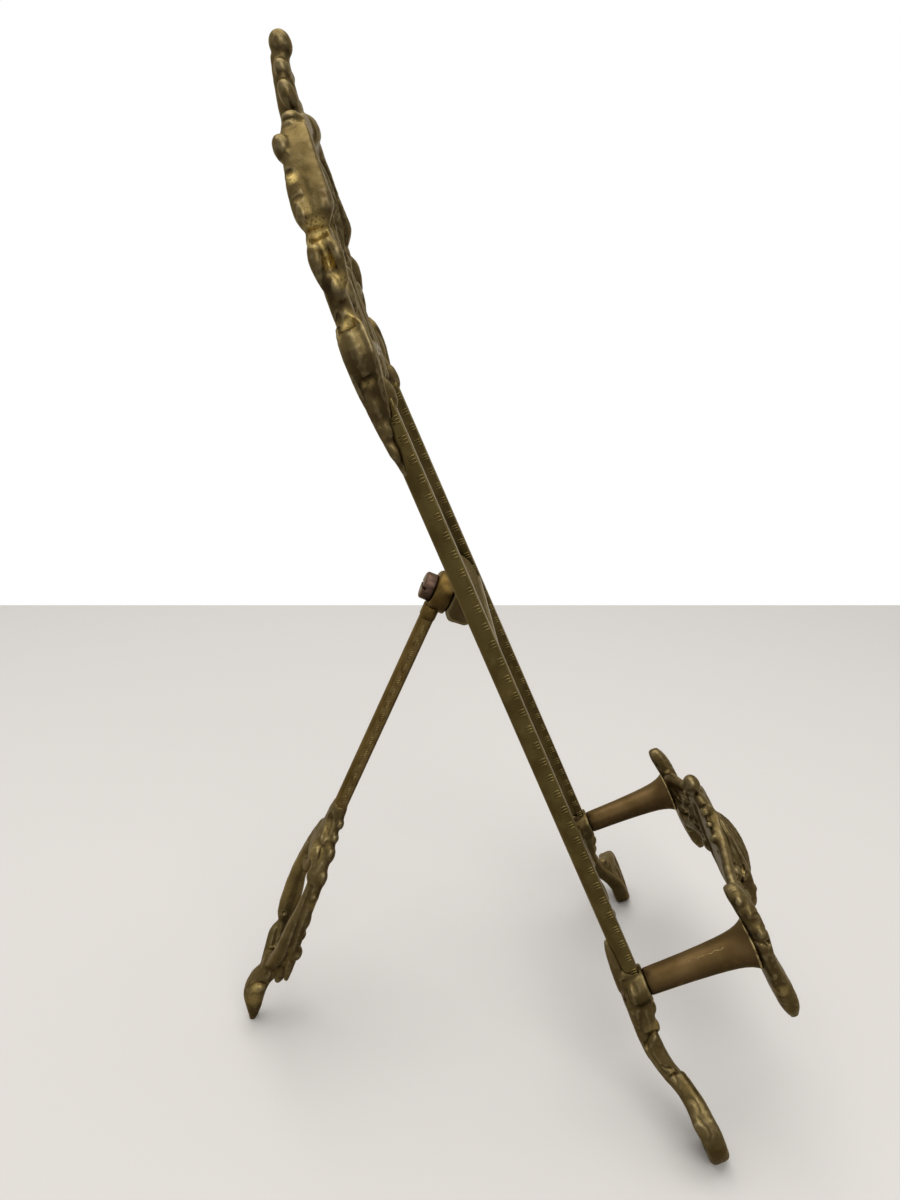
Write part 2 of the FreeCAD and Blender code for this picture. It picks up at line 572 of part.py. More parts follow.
def gallery():
    """Pierced front rail: a shell in the middle and a leaf on the end of each arm."""
    end = ARM_SPREAD
    half = SHELL_WIDTH / 2.0
    tall = SHELL_HEIGHT / DRAWN_SHELL_HEIGHT
    side = [
        # leaf on the end of the arm
        gallery_bar([(end + 1.2, -33.8, 1.6, 4.2, 6.6), (end + 1.0, -29, 4.6, 2.3, 6.8),
                     (end + 0.7, -21, 6.8, 0.9, 6.3), (end + 0.3, -12, 8.4, 0.1, 5.3),
                     (end, -3, 9.4, 0.0, 4.8), (end - 0.4, 6, 8.6, 0.0, 4.4),
                     (end - 1.0, 13, 6.2, 0.0, 3.8), (end - 1.6, 19, 3.6, -0.5, 2.8),
                     (end - 1.8, 22.6, 1.6, -0.9, 1.5)], 0.5),
        gallery_bead(end + 0.4, -26, 5.2, 3.0, 4.6, 2.3),
        # links to the middle
        gallery_links([(5.0, 7, 3.8, 0.0, 4.2), (12, 12.8, 3.4, -0.5, 3.6), (20, 14.8, 3.1, -0.5, 3.6),
                       (29, 16.2, 3.2, 0.0, 4.4), (36, 18.6, 3.3, 0.0, 4.8),
                       (42, 21.0, 3.2, 0.0, 4.4)], half),
        gallery_links([(5.0, -9, 4.0, 0.2, 4.6), (12, -8.4, 3.7, 0.0, 4.0), (20, -6.0, 3.4, 0.0, 3.8),
                       (27, -6.2, 3.4, 0.2, 4.6), (34, -10.0, 3.5, 0.4, 5.4),
                       (41, -15.6, 3.6, 0.4, 6.2)], half),
        # curls between them
        gallery_links([(14.0, 10.0, 2.6, 0.0, 3.8), (18.6, 5.4, 2.7, 0.0, 4.2), (15.4, 1.4, 2.3, 0.2, 3.8),
                       (12.0, 3.6, 1.6, 0.4, 3.0)], half),
        gallery_bead(end - 23.0, -1.2, 1.4, 3.2, 3.0, 2.6),
        gallery_bead(half + 8.6, -11.4, 2.2, 4.4, 4.0, 2.6),
        # frame of the shell
        gallery_bar([(half - 7.0, 24.2 * tall, 3.0, -0.4, 4.4), (half - 0.8, 19.4 * tall, 3.0, -0.4, 6.4),
                     (half + 2.4, 10.0 * tall, 2.9, -0.2, 7.8), (half + 2.9, -1.0 * tall, 2.9, 0.0, 8.6),
                     (half + 1.2, -12.0 * tall, 2.9, 0.2, 7.8), (half - 4.0, -19.6 * tall, 3.0, 0.2, 6.6),
                     (half - 10.8, -22.8 * tall, 3.2, 0.2, 5.6)], 0.6),
    ]
    middle = [
        gallery_dome(0, -3.0 * tall, 1.8, half - 0.6, 20.0 * tall, SHELL_CROWN - 1.8),
        gallery_bar([(0, -23.5 * tall, 5.0, 0.2, 6.0), (0, -18 * tall, 11.0, 0.0, 4.6),
                     (0, -4 * tall, half + 2.0, 0.0, 4.4), (0, 10 * tall, half + 1.0, 0.0, 4.4),
                     (0, 19 * tall, half - 4.0, -0.2, 4.0)], 0.55),
        gallery_bar([(0, 14 * tall, 8.0, 0.0, 6.0), (0, 20 * tall, 6.6, -0.4, 5.2),
                     (0, 25 * tall, 4.6, -0.8, 4.0), (0, 28.6 * tall, 2.0, -0.8, 2.4),
                     (0, 32.0 * tall, 2.0, -1.2, 2.0)], 0.6),
        gallery_bead(0, 32.6 * tall, 0.2, 3.2, 4.6, 2.9),
        gallery_bead(0, -21.8 * tall, 4.8, 4.0, 3.6, 3.8),
    ]
    return fused(side + [mirrored(shape) for shape in side] + middle)


# Rear leg

def leg_bead(across, down, back, radius, tall=None, deep=None):
    return bead(leg_point, across, down, back, radius, tall, deep)


def rear_strut():
    """Round head on the screw and the milled strip that runs down to the scrolled foot."""
    chamfer = 1.0
    head = turned([(PIVOT_PLAY, LEG_HEAD_RADIUS - 0.4), (PIVOT_PLAY + 0.4, LEG_HEAD_RADIUS),
                   (PIVOT_PLAY + LEG_HEAD_THICKNESS - chamfer, LEG_HEAD_RADIUS),
                   (PIVOT_PLAY + LEG_HEAD_THICKNESS, LEG_HEAD_RADIUS - chamfer)],
                  leg_point(0, 0, 0), leg_point(0, 0, 1) - leg_point(0, 0, 0))
    half = STRUT_WIDTH / 2.0
    low = STRUT_FRONT + 0.9
    high = STRUT_FRONT + STRUT_THICKNESS
    start = LEG_HEAD_RADIUS - 3.0
    corners = [leg_point(-half, start, low), leg_point(half, start, low),
               leg_point(half, start, high - 1.5), leg_point(-half, start, high - 1.5)]
    edges = [Part.Arc(corners[0], leg_point(0, start, STRUT_FRONT), corners[1]).toShape(),
             Part.LineSegment(corners[1], corners[2]).toShape(),
             Part.Arc(corners[2], leg_point(0, start, high), corners[3]).toShape(),
             Part.LineSegment(corners[3], corners[0]).toShape()]
    run = leg_point(0, STRUT_LENGTH - start, 0) - leg_point(0, 0, 0)
    strip = Part.Face(Part.Wire(edges)).extrude(run)
    collar = bar(leg_point, [(0, LEG_HEAD_RADIUS - 2.0, half + 0.5, STRUT_FRONT - 0.2, high + 0.5),
                             (0, LEG_HEAD_RADIUS + 3.4, half + 0.5, STRUT_FRONT - 0.2, high + 0.5)], 0.6)
    bore = disc(leg_point, 0, 0, -5, LEG_HEAD_THICKNESS + 5, PIVOT_SCREW_RADIUS + PIVOT_CLEARANCE)
    clear = disc(leg_point, 0, 0, PIVOT_PLAY + LEG_HEAD_THICKNESS, LEG_HEAD_THICKNESS + 5,
                 PIVOT_HEAD_RADIUS + 0.5)
    return largest(fused([head, strip, collar]).cut(bore).cut(clear))


def scroll_place(down):
    """Distance down the leg of what is drawn from the strut's end."""
    return STRUT_LENGTH + down * (TOE_LENGTH - STRUT_LENGTH) / DRAWN_SCROLLS


def scroll_bar(stations, corner=None):
    return bar(leg_point, [(across, scroll_place(down), half, back, front)
                           for across, down, half, back, front in stations], corner)


def scroll_bead(across, down, back, radius, tall=None, deep=None):
    return leg_bead(across, scroll_place(down), back, radius, tall, deep)


def rear_foot(strut):
    """Pierced foot of the leg: two scrolls round an opening, down to a leaf toe."""
    pieces = [
        # neck that takes the strut
        scroll_bar([(0, -4, 4.4, 1.0, 7.7), (0, 3, 5.2, 1.0, 7.6), (0, 9, 6.8, 0.8, 7.8),
                    (0, 15, 7.8, 0.6, 8.6), (0, 20, 7.0, 0.6, 8.8), (0, 25, 3.4, 1.6, 7.4)], 0.5),
        # plain scroll at the back
        scroll_bar([(3.6, 13, 4.8, 0.8, 8.4), (8.0, 22, 4.0, 2.0, 8.9), (11.4, 31, 3.8, 3.0, 9.0),
                    (13.0, 41, 3.7, 3.0, 9.0), (13.4, 50, 3.7, 1.2, 8.5), (12.8, 58, 3.7, 0.2, 8.0),
                    (12.0, 63, 3.6, 0.0, 7.0), (11.4, 66.4, 2.2, 1.8, 5.2)], 0.5),
        # leafy scroll at the front
        scroll_bar([(-3.6, 12, 4.8, 0.4, 8.0), (-8.0, 20, 4.2, -0.2, 6.8), (-11.0, 28, 3.8, -0.8, 5.8),
                    (-12.4, 37, 3.6, -1.2, 6.2), (-12.8, 46, 3.4, -1.8, 6.2), (-11.8, 54, 3.4, -2.7, 5.8),
                    (-9.8, 61, 3.3, -3.3, 5.6), (-6.8, 67.6, 3.3, -2.6, 5.6),
                    (-3.0, 73.4, 3.5, -1.2, 5.8)], 0.5),
        # scrolls back to the middle
        scroll_bar([(11.4, 62, 3.1, 1.2, 6.2), (9.6, 69.6, 3.2, 1.0, 6.5), (6.4, 76, 3.3, 0.8, 6.1),
                    (2.4, 82, 3.5, 0.6, 5.8)]),
        # curl that closes the top of the opening
        scroll_bar([(-2.0, 20, 3.2, 0.6, 7.0), (1.6, 27, 3.2, 1.2, 7.2), (6.0, 29.4, 2.8, 1.6, 7.6),
                    (9.6, 27.0, 2.6, 2.0, 8.0)]),
        # leaves and beads along the front
        scroll_bead(-2.8, 5.5, 2.6, 2.7, 3.6, 2.2),
        scroll_bead(-6.4, 13.5, 1.8, 2.8, 4.0, 2.3),
        scroll_bead(-10.2, 22, 0.9, 3.0, 4.4, 2.3),
        scroll_bead(-12.8, 38, 0.4, 2.8, 4.8, 2.1),
        scroll_bead(-11.8, 55, -2.1, 2.9, 4.0, 2.0),
        scroll_bar([(-10.8, 58, 2.6, -3.5, 1.8), (-11.2, 66, 2.3, -3.9, -0.3),
                    (-11.6, 71.4, 1.4, -4.0, -2.0)]),
        scroll_bead(-6.8, 72.5, -1.2, 2.4, 4.6, 2.1),
        # toe
        scroll_bar([(0, 74, 4.2, -1.0, 5.8), (0, 81, 4.7, -0.4, 6.4), (0, 87, 4.6, -0.2, 8.4),
                    (0, 92.5, 4.6, 0.2, 8.3), (0, 98, 4.0, 0.2, 6.7), (0, 102, 2.8, -0.4, 4.4),
                    (0, 104.8, 1.6, -0.2, 2.4)], 0.5),
        scroll_bead(0, 79, 3.8, 3.8, 4.6, 3.0),
    ]
    return largest(fused(pieces).cut(strut))


def pivot_screw():
    """Pan-head screw that the leg turns on."""
    under = LEG_HEAD_THICKNESS + 2 * PIVOT_PLAY
    round_off = 0.9
    direction = leg_point(0, 0, 1) - leg_point(0, 0, 0)
    head = turned([(under, PIVOT_HEAD_RADIUS - 0.2), (under + 0.3, PIVOT_HEAD_RADIUS),
                   (under + PIVOT_HEAD_HEIGHT - round_off, PIVOT_HEAD_RADIUS - 0.1),
                   (under + PIVOT_HEAD_HEIGHT - 0.3, PIVOT_HEAD_RADIUS - 0.6),
                   (under + PIVOT_HEAD_HEIGHT, PIVOT_HEAD_RADIUS - 1.4)],
                  leg_point(0, 0, 0), direction)
    shank = disc(leg_point, 0, 0, under - PIVOT_SCREW_LENGTH, under, PIVOT_SCREW_RADIUS)
    top = under + PIVOT_HEAD_HEIGHT
    slot = bar_slot(top)
    return head.fuse(shank).cut(slot)


def bar_slot(top):
    """Straight driver slot across the pivot screw's head."""
    long_side = 1.5 * PIVOT_HEAD_RADIUS
    corners = [leg_point(-long_side, -SLOT_WIDTH / 2, top - SLOT_DEPTH),
               leg_point(long_side, -SLOT_WIDTH / 2, top - SLOT_DEPTH),
               leg_point(long_side, SLOT_WIDTH / 2, top - SLOT_DEPTH),
               leg_point(-long_side, SLOT_WIDTH / 2, top - SLOT_DEPTH)]
    face = Part.Face(Part.makePolygon(corners + [corners[0]]))
    return face.extrude(leg_point(0, 0, SLOT_DEPTH + 1) - leg_point(0, 0, 0))


# Assembly

def on_floor(shape):
    """Cuts what reaches below the table flat."""
    under = Part.makeBox(2000, 2000, FLOOR_CUT, Vector(-1000, -1000, -FLOOR_CUT))
    return largest(shape.cut(under))


def build():
    right_rail = rail()
    left_rail = mirrored(right_rail)
    rails = [left_rail, right_rail]
    right_foot = foot(right_rail)
    left_foot = mirrored(right_foot)
    right_arm = arm()
    screw = arm_screw()
    strut = rear_strut()
    parts = {
        "left_rail": lean(left_rail),
        "right_rail": lean(right_rail),
        "left_foot": on_floor(lean(left_foot)),
        "right_foot": on_floor(lean(right_foot)),
        "left_arm": lean(mirrored(right_arm)),
        "right_arm": lean(right_arm),
        "arm_screws": Part.makeCompound([lean(mirrored(screw)), lean(screw)]),
        "cross_bar": lean(cross_bar(rails)),
        "apron": lean(apron([left_foot, right_foot])),
        "crest": lean(crest(rails)),
        "gallery": lean(gallery()),
        "rear_strut": lean(strut),
        "rear_foot": on_floor(lean(rear_foot(strut))),
        "pivot_screw": lean(pivot_screw()),
    }
    whole = Part.makeCompound(list(parts.values())).BoundBox
    for shape in parts.values():
        shape.translate(Vector(-whole.Center.x, -whole.Center.y, -whole.ZMin))
    return parts


os.makedirs("parts", exist_ok=True)
for name, shape in build().items():
    shape.exportStep(os.path.join("parts", name + ".step"))
    print(name, len(shape.Solids), "solids", round(shape.Volume, 1), "mm3")
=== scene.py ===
import math

import bpy
import numpy as np
from mathutils import Matrix, Vector, noise


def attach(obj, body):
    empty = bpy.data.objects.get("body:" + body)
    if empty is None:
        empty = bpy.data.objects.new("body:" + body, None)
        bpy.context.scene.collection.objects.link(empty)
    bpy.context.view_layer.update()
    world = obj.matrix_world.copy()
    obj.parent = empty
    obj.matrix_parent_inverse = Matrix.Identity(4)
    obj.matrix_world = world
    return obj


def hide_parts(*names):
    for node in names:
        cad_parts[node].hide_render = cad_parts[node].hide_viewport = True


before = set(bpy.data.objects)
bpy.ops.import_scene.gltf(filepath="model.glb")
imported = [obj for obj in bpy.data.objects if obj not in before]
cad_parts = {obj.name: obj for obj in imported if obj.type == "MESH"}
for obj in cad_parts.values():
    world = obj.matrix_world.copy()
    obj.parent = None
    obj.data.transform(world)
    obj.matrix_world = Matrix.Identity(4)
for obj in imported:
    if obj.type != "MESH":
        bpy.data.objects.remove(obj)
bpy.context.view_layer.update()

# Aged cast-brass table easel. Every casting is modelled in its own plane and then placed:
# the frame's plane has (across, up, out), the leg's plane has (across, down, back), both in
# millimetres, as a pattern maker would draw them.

MM = 0.001
LEAN = math.radians(22.85)
FRAME_SHIFT = -68.826
LEG_TURN = math.asin(0.40673664)
LEG_PIVOT = (0.0, 18.752, 180.019)

FRAME_PLANE = Matrix((
    (1, 0, 0, 0),
    (0, math.sin(LEAN), -math.cos(LEAN), FRAME_SHIFT * MM),
    (0, math.cos(LEAN), math.sin(LEAN), 0),
    (0, 0, 0, 1)))
LEG_PLANE = Matrix((
    (1, 0, 0, LEG_PIVOT[0] * MM),
    (0, math.sin(LEG_TURN), math.cos(LEG_TURN), LEG_PIVOT[1] * MM),
    (0, -math.cos(LEG_TURN), math.sin(LEG_TURN), LEG_PIVOT[2] * MM),
    (0, 0, 0, 1)))

ARM_ACROSS = 49.4
ARM_UP = 60.0
RAIL_START = 67.2
RAIL_LENGTH = 205.0
RAIL_TAPER = math.radians(3.4)
RAIL_TOP = RAIL_START + RAIL_LENGTH * math.cos(RAIL_TAPER)
RAIL_HALF = 3.3
CREST_FOOT_ACROSS = ARM_ACROSS - (RAIL_TOP - ARM_UP) * math.tan(RAIL_TAPER)
CREST_TALL, CREST_LAP = 103.0, 10.0
CREST_BACK, CREST_REACH = -3.0, 12.5
GALLERY_OUT, GALLERY_BOW = 38.6, 5.2
REAR_FOOT_DOWN = 93.0

STATION_STEP = 1.1

# Section of an oval hollow, where 1 is its drawn outline
BOWL_EDGE, BOWL_SLOPE = 1.1, 0.7
RIM_AT, RIM_WIDTH = 1.15, 0.22

# Masks of a surface: rounds of smoothing and how far it then has to lie off; and, for painted shade, the
# way it faces: faces turned from the light above (OPEN_SKY) and, where asked, faces turned back (AWAY) get
# darker, from the CAST_SHADE and PLAIN_SHADE levels on
OFF_SMOOTHED = {"edge": (3, -0.075), "hollow": (26, 0.95)}
OPEN_SKY = np.array((0.0, 0.40, 0.917))
AWAY = np.array((0.0, 0.92, -0.39))
CAST_SHADE, PLAIN_SHADE = 0.45, 0.42


def rail_across(up):
    return ARM_ACROSS - (up - ARM_UP) * math.tan(RAIL_TAPER)


# Mesh tools

def circle(count, start=0.0):
    return (np.arange(count) + start) * 2 * math.pi / count


def superellipse(count, power):
    c, s = np.cos(circle(count, 0.5)), np.sin(circle(count, 0.5))
    return np.stack([np.sign(v) * np.abs(v) ** (2 / power) for v in (c, s)], 1)


def turned(profile, across, up, sides):
    """Rings of (out, radius) about a centre."""
    angles = circle(sides)
    return [np.column_stack([across + r * np.cos(angles), up + r * np.sin(angles), np.full(sides, out)])
            for out, r in profile]


def through(rows):
    """Smooth rows through the given rows, about STATION_STEP apart in their first two columns."""
    padded = np.vstack([2 * rows[0] - rows[1], rows, 2 * rows[-1] - rows[-2]])
    out = []
    for i in range(len(rows) - 1):
        p0, p1, p2, p3 = padded[i:i + 4]
        count = max(2, int(round(np.linalg.norm((p2 - p1)[:2]) / STATION_STEP)))
        for t in np.arange(count) / count:
            out.append(0.5 * (2 * p1 + (p2 - p0) * t + (2 * p0 - 5 * p1 + 4 * p2 - p3) * t ** 2
                              + (3 * p1 - p0 - 3 * p2 + p3) * t ** 3))
    return np.array(out + [rows[-1]])


def skin(rings):
    """Closed surface over rings of equal count."""
    rings = np.array(rings)
    layers, count = rings.shape[:2]
    first, last = layers * count, layers * count + 1
    end = (layers - 1) * count
    verts = np.vstack([rings.reshape(-1, 3), rings[0].mean(0), rings[-1].mean(0)])
    faces = []
    for start in range(0, end, count):
        for i in range(count):
            j = (i + 1) % count
            faces.append((start + i, start + j, start + count + j, start + count + i))
    for i in range(count):
        j = (i + 1) % count
        faces += [(first, j, i), (last, end + i, end + j)]
    return verts, faces


def outward(verts, faces):
    """Faces turned so that the closed surface's normals point out."""
    total = 0.0
    for face in faces:
        p = verts[list(face)]
        for k in range(1, len(face) - 1):
            total += np.dot(p[0], np.cross(p[k], p[k + 1]))
    return faces if total > 0 else [tuple(reversed(f)) for f in faces]


class Lumps:
    """Closed surfaces that are gathered into one mesh."""

    def __init__(self):
        self.verts, self.faces = [], []

    def gather(self, verts, faces):
        start = len(self.verts)
        self.verts += [tuple(v) for v in verts]
        self.faces += [tuple(i + start for i in f) for f in outward(verts, faces)]

    def mesh(self, name):
        mesh = bpy.data.meshes.new(name)
        mesh.from_pydata([[c * MM for c in v] for v in self.verts], [], self.faces)
        return mesh


class Casting(Lumps):
    """Lumps of one casting, in its own plane, that become one skin.

    In a paired casting, what lies off the middle is made on both sides of it."""

    def __init__(self, shift=lambda a, b: 0.0, lift=0.0, paired=True):
        super().__init__()
        self.shift, self.lift, self.paired = shift, lift, paired

    def add(self, verts, faces, twin=False):
        for flip in ((1, -1) if twin else (1,)):
            self.gather(verts * np.array((flip, 1, 1)), faces)

    def strand(self, stations, base=0.0, power=2.7, blunt=0.62, sides=14, scallop=None):
        """Bar through (across from base, up, half width, back, front), with rounded ends."""
        rows = np.array(stations, float)
        rows[:, 0] += base
        twin = self.paired and rows[:, 0].any()
        rows = through(rows)
        rows[:, 1] += self.lift
        outline = superellipse(sides, power)
        if scallop:
            lobes, depth = scallop
            wave = 1 - depth * np.abs(np.cos(math.pi * lobes * np.linspace(0, 1, len(rows)))) ** 3
            middle = (rows[:, 3] + rows[:, 4]) / 2
            rows[:, 2] *= wave
            for column in (3, 4):
                rows[:, column] = middle + (rows[:, column] - middle) * (0.5 + 0.5 * wave)
        tangents = np.gradient(rows[:, :2], axis=0)
        tangents /= np.linalg.norm(tangents, axis=1)[:, None] + 1e-9
        spots = [(row, tangent, 0.0, 1.0) for row, tangent in zip(rows, tangents)]
        ends = ((1, 0.3), (0.8, 0.66), (0.4, 0.92))
        head = [(rows[0], tangents[0], -blunt * k * rows[0][2], size) for k, size in ends]
        tail = [(rows[-1], tangents[-1], blunt * k * rows[-1][2], size) for k, size in ends[::-1]]
        rings = []
        for row, tangent, along, size in head + spots + tail:
            half, back, front = row[2:]
            side = np.array((tangent[1], -tangent[0]))
            centre = row[:2] + tangent * along
            middle, deep = (back + front) / 2 + self.shift(*centre), (front - back) / 2
            flat = centre + outline[:, :1] * side * half * size
            rings.append(np.column_stack([flat, middle + outline[:, 1] * deep * size]))
        self.add(*skin(rings), twin)

    def bead(self, a, b, c, radius, tall=None, deep=None, turn=0.0):
        """Ellipsoid, turned in the casting's plane by degrees."""
        tall, deep = tall or radius, deep or radius
        twin = self.paired and a != 0
        b += self.lift
        c += self.shift(a, b)
        spin = math.radians(turn)
        angles = circle(14)
        rings = []
        for k in range(1, 10):
            polar = math.pi * k / 10
            x = radius * math.sin(polar) * np.cos(angles)
            z = deep * math.sin(polar) * np.sin(angles)
            y = np.full(14, -tall * math.cos(polar))
            rings.append(np.column_stack([a + x * math.cos(spin) - y * math.sin(spin),
                                          b + x * math.sin(spin) + y * math.cos(spin), c + z]))
        self.add(*skin(rings), twin)

    def beads(self, marks, base=0.0):
        for across, *rest in marks:
            self.bead(base + across, *rest)

    def dome(self, a, b, c, radius, tall, deep):
        """Flat-backed swelling, such as a shell's body."""
        b += self.lift
        rings = []
        for k in range(1, 16):
            polar = math.pi * k / 16
            size, up = math.sin(polar), b + tall * -math.cos(polar)
            angles = np.linspace(0, math.pi, 19)
            x, z = radius * size * np.cos(angles), deep * size * np.sin(angles)
            out = c + self.shift(a, up)
            rings.append([(a + u, up, out + w) for u, w in zip(x, z)]
                         + [(a + way * radius * size * 0.9, up, out - 0.6) for way in (-1, 1)])
        self.add(*skin(rings))

    def skin(self, voxel, fillet, smooth=2):
        """The lumps as one even skin, their joins rounded as in a casting."""
        cast = Relief(evened(self.mesh("lumps"), voxel), self)
        if fillet:
            cast.co += cast.normals() * fillet
            cast.write()
            cast = Relief(evened(cast.mesh, voxel), self)
            cast.smoothed(1)
            cast.co -= cast.normals() * fillet
        return cast.smoothed(smooth)


def evened(mesh, voxel):
    """The same body as one closed skin of even squares."""
    holder = bpy.data.objects.new("lumps", mesh)
    bpy.context.scene.collection.objects.link(holder)
    remesh = holder.modifiers.new("cast", "REMESH")
    remesh.mode = "VOXEL"
    remesh.voxel_size = voxel * MM
    remesh.adaptivity = 0.0
    graph = bpy.context.evaluated_depsgraph_get()
    made = bpy.data.meshes.new_from_object(holder.evaluated_get(graph))
    bpy.data.objects.remove(holder)
    return made


class Relief:
    """A mesh whose points are pushed about in the casting's plane."""

    def __init__(self, mesh, casting):
        self.mesh, self.shift, self.lift = mesh, casting.shift, casting.lift
        self.flips = ((1, 1, 1), (-1, 1, 1)) if casting.paired else ((1, 1, 1),)
        count = len(mesh.vertices)
        co = np.zeros(count * 3)
        mesh.vertices.foreach_get("co", co)
        self.co = co.reshape(-1, 3) / MM
        edges = np.zeros(len(mesh.edges) * 2, np.int32)
        mesh.edges.foreach_get("vertices", edges)
        self.edges = edges.reshape(-1, 2)
        self.degree = np.bincount(self.edges.ravel(), minlength=count).astype(float)
        self.bright, self.shade_spots = np.zeros(count), np.zeros(count)

    def drawn(self):
        """The points as the casting's layout gives them, flattened and lowered."""
        across, up, out = self.co.T
        return np.column_stack([across, up - self.lift, out - self.shift(across, up)])

    def averaged(self, values):
        a, b = self.edges[:, 0], self.edges[:, 1]
        total = [np.bincount(a, v[b], len(v)) + np.bincount(b, v[a], len(v)) for v in values.T]
        return np.stack(total, 1) / np.maximum(self.degree, 1)[:, None]

    def smoothed(self, rounds):
        """Evened out and back, so that the size stays."""
        for _ in range(rounds):
            for share in (0.55, -0.36):
                self.co += share * (self.averaged(self.co) - self.co)
        return self

    def softened(self, rounds):
        for _ in range(rounds):
            self.co += 0.5 * (self.averaged(self.co) - self.co)

    def write(self):
        self.mesh.vertices.foreach_set("co", (self.co * MM).ravel())
        self.mesh.update()

    def normals(self):
        self.write()
        out = np.zeros(len(self.co) * 3)
        self.mesh.vertices.foreach_get("normal", out)
        return out.reshape(-1, 3)

    def groove(self, lines, width, depth, base=0.0, seen=(0, 0, 1), across=(-999, 999)):
        """Lines cut into the faces that look along seen, between two limits across.

        They are drawn as (across from base, up) on a front or a back, and as (up, out) on a side."""
        normals, drawn = self.normals(), self.drawn()
        flat = (0, 1) if abs(seen[2]) > abs(seen[0]) else (1, 2)
        seen = np.array(seen, float) / np.linalg.norm(seen)
        total = np.zeros(len(self.co))
        for flip in self.flips:
            co = drawn * flip
            face = facing(normals * flip, seen, fade=0.25)
            index = np.nonzero((face > 0) & (co[:, 0] > across[0]) & (co[:, 0] < across[1]))[0]
            points = co[index][:, flat]
            best = np.full(len(index), 1e9)
            for line in lines:
                line = np.array(line, float) + (base, 0)
                for p, q in zip(line, line[1:]):
                    d = q - p
                    t = np.clip((points - p) @ d / (d @ d + 1e-12), 0, 1)
                    best = np.minimum(best, ((points - p - t[:, None] * d) ** 2).sum(1))
            total[index] = np.maximum(total[index], np.exp(-best / (width / 2) ** 2) * face[index])
        self.co -= normals * (total * depth)[:, None]

    def hollows(self, marks, base=0.0, seen=(1, 0, 0), reach=5.0):
        """Oval hollows of (a, b, c, tall, wide, depth, turn, rim) in the faces that look along seen.

        Turn and rim can be left out. Tall runs up the piece. A negative depth raises the oval."""
        normals, drawn = self.normals(), self.drawn()
        seen = np.array(seen, float) / np.linalg.norm(seen)
        up = np.array((0, 1, 0)) - seen * seen[1]
        up /= np.linalg.norm(up)
        wide_way = np.cross(seen, up)
        move = np.zeros_like(self.co)
        for flip in self.flips:
            co = drawn * flip
            push = np.zeros(len(co))
            for a, b, c, tall, wide, depth, *more in marks:
                turn, rim = (*more, 0, 0)[:2]
                off = co - (base + a, b, c)
                u, w = off @ up, off @ wide_way
                spin = math.radians(turn)
                r = np.hypot((u * math.cos(spin) + w * math.sin(spin)) / tall,
                             (w * math.cos(spin) - u * math.sin(spin)) / wide)
                near = np.clip(1.6 - np.abs(off @ seen) / reach, 0, 1)
                bowl = np.clip((BOWL_EDGE - r) / BOWL_SLOPE, 0, 1)
                bowl = bowl * bowl * (3 - 2 * bowl)
                push += near * (rim * np.exp(-((r - RIM_AT) / RIM_WIDTH) ** 2) - depth * bowl)
            move += (push * facing(normals * flip, seen, fade=0.1))[:, None] * seen * flip
        self.co += move

    def spots(self, values, marks, base):
        """The mask with round places of (across from base, up, out, radius, amount)."""
        for flip in self.flips:
            for a, b, c, radius, amount in marks:
                far = np.linalg.norm(self.drawn() * flip - (base + a, b, c), axis=1) / radius
                values = np.maximum(values, amount * np.clip(1.4 - far, 0, 1))
        return values

    def rubbed(self, marks, base=0.0):
        self.bright = self.spots(self.bright, marks, base)

    # painted shade: round spots that lie in shade are darkened through the under mask
    def darkened(self, marks, base=0.0):
        self.shade_spots = self.spots(self.shade_spots, marks, base)

    def waves(self, amount, pitch, seed):
        """Uneven skin of a sand casting."""
        normals = self.normals()
        offset = Vector((seed * 7.3, seed * 3.1, seed * 5.7))
        push = np.array([noise.noise(Vector(p) / pitch + offset) for p in self.co])
        self.co += normals * (push * amount)[:, None]
        return self

    def placed(self, name, plane, body, *nodes, shaded_back=0.0):
        """The finished mesh as a piece of the object, with masks of its hollows and edges, and an under
        mask that paints shade.
        """
        normals = self.normals()
        masks = {"bright": self.bright}
        for label, (rounds, full) in OFF_SMOOTHED.items():
            moved = self.co
            for _ in range(rounds):
                moved = self.averaged(moved)
            masks[label] = np.clip(((moved - self.co) * normals).sum(1) / full, 0, 1)
        # painted shade: faces turned away from the light above, back faces when asked, and the darkened
        # spots go into the under mask
        world = normals @ np.array(plane.to_3x3()).T
        masks["under"] = np.clip(np.maximum.reduce([
            CAST_SHADE - world @ OPEN_SKY, shaded_back * (world @ AWAY), self.shade_spots]), 0, 1)
        self.mesh.transform(plane)
        points = np.zeros(len(self.co) * 3)
        self.mesh.vertices.foreach_get("co", points)
        points[2::3] = np.maximum(points[2::3], 0.0)
        self.mesh.vertices.foreach_set("co", points)
        return piece(name, self.mesh, masks, body, *nodes)


def facing(normals, seen, fade):
    """How much each point's surface looks along seen."""
    return np.clip((normals @ seen - fade) / (1 - fade), 0, 1) ** 0.5


def piece(name, mesh, masks, body, *nodes):
    for label, values in masks.items():
        layer = mesh.attributes.new(label, "FLOAT", "POINT")
        layer.data.foreach_set("value", np.array(values, np.float32))
    for polygon in mesh.polygons:
        polygon.use_smooth = True
    obj = bpy.data.objects.new(name, mesh)
    mesh.name = name
    bpy.context.scene.collection.objects.link(obj)
    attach(obj, body)
    if nodes:
        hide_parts(*nodes)
    return obj


# Crest

def crest_bend(across, up):
    share = np.maximum(0.0, up - RAIL_TOP + CREST_LAP) / (CREST_TALL + CREST_LAP)
    return CREST_BACK + CREST_REACH * share ** 2


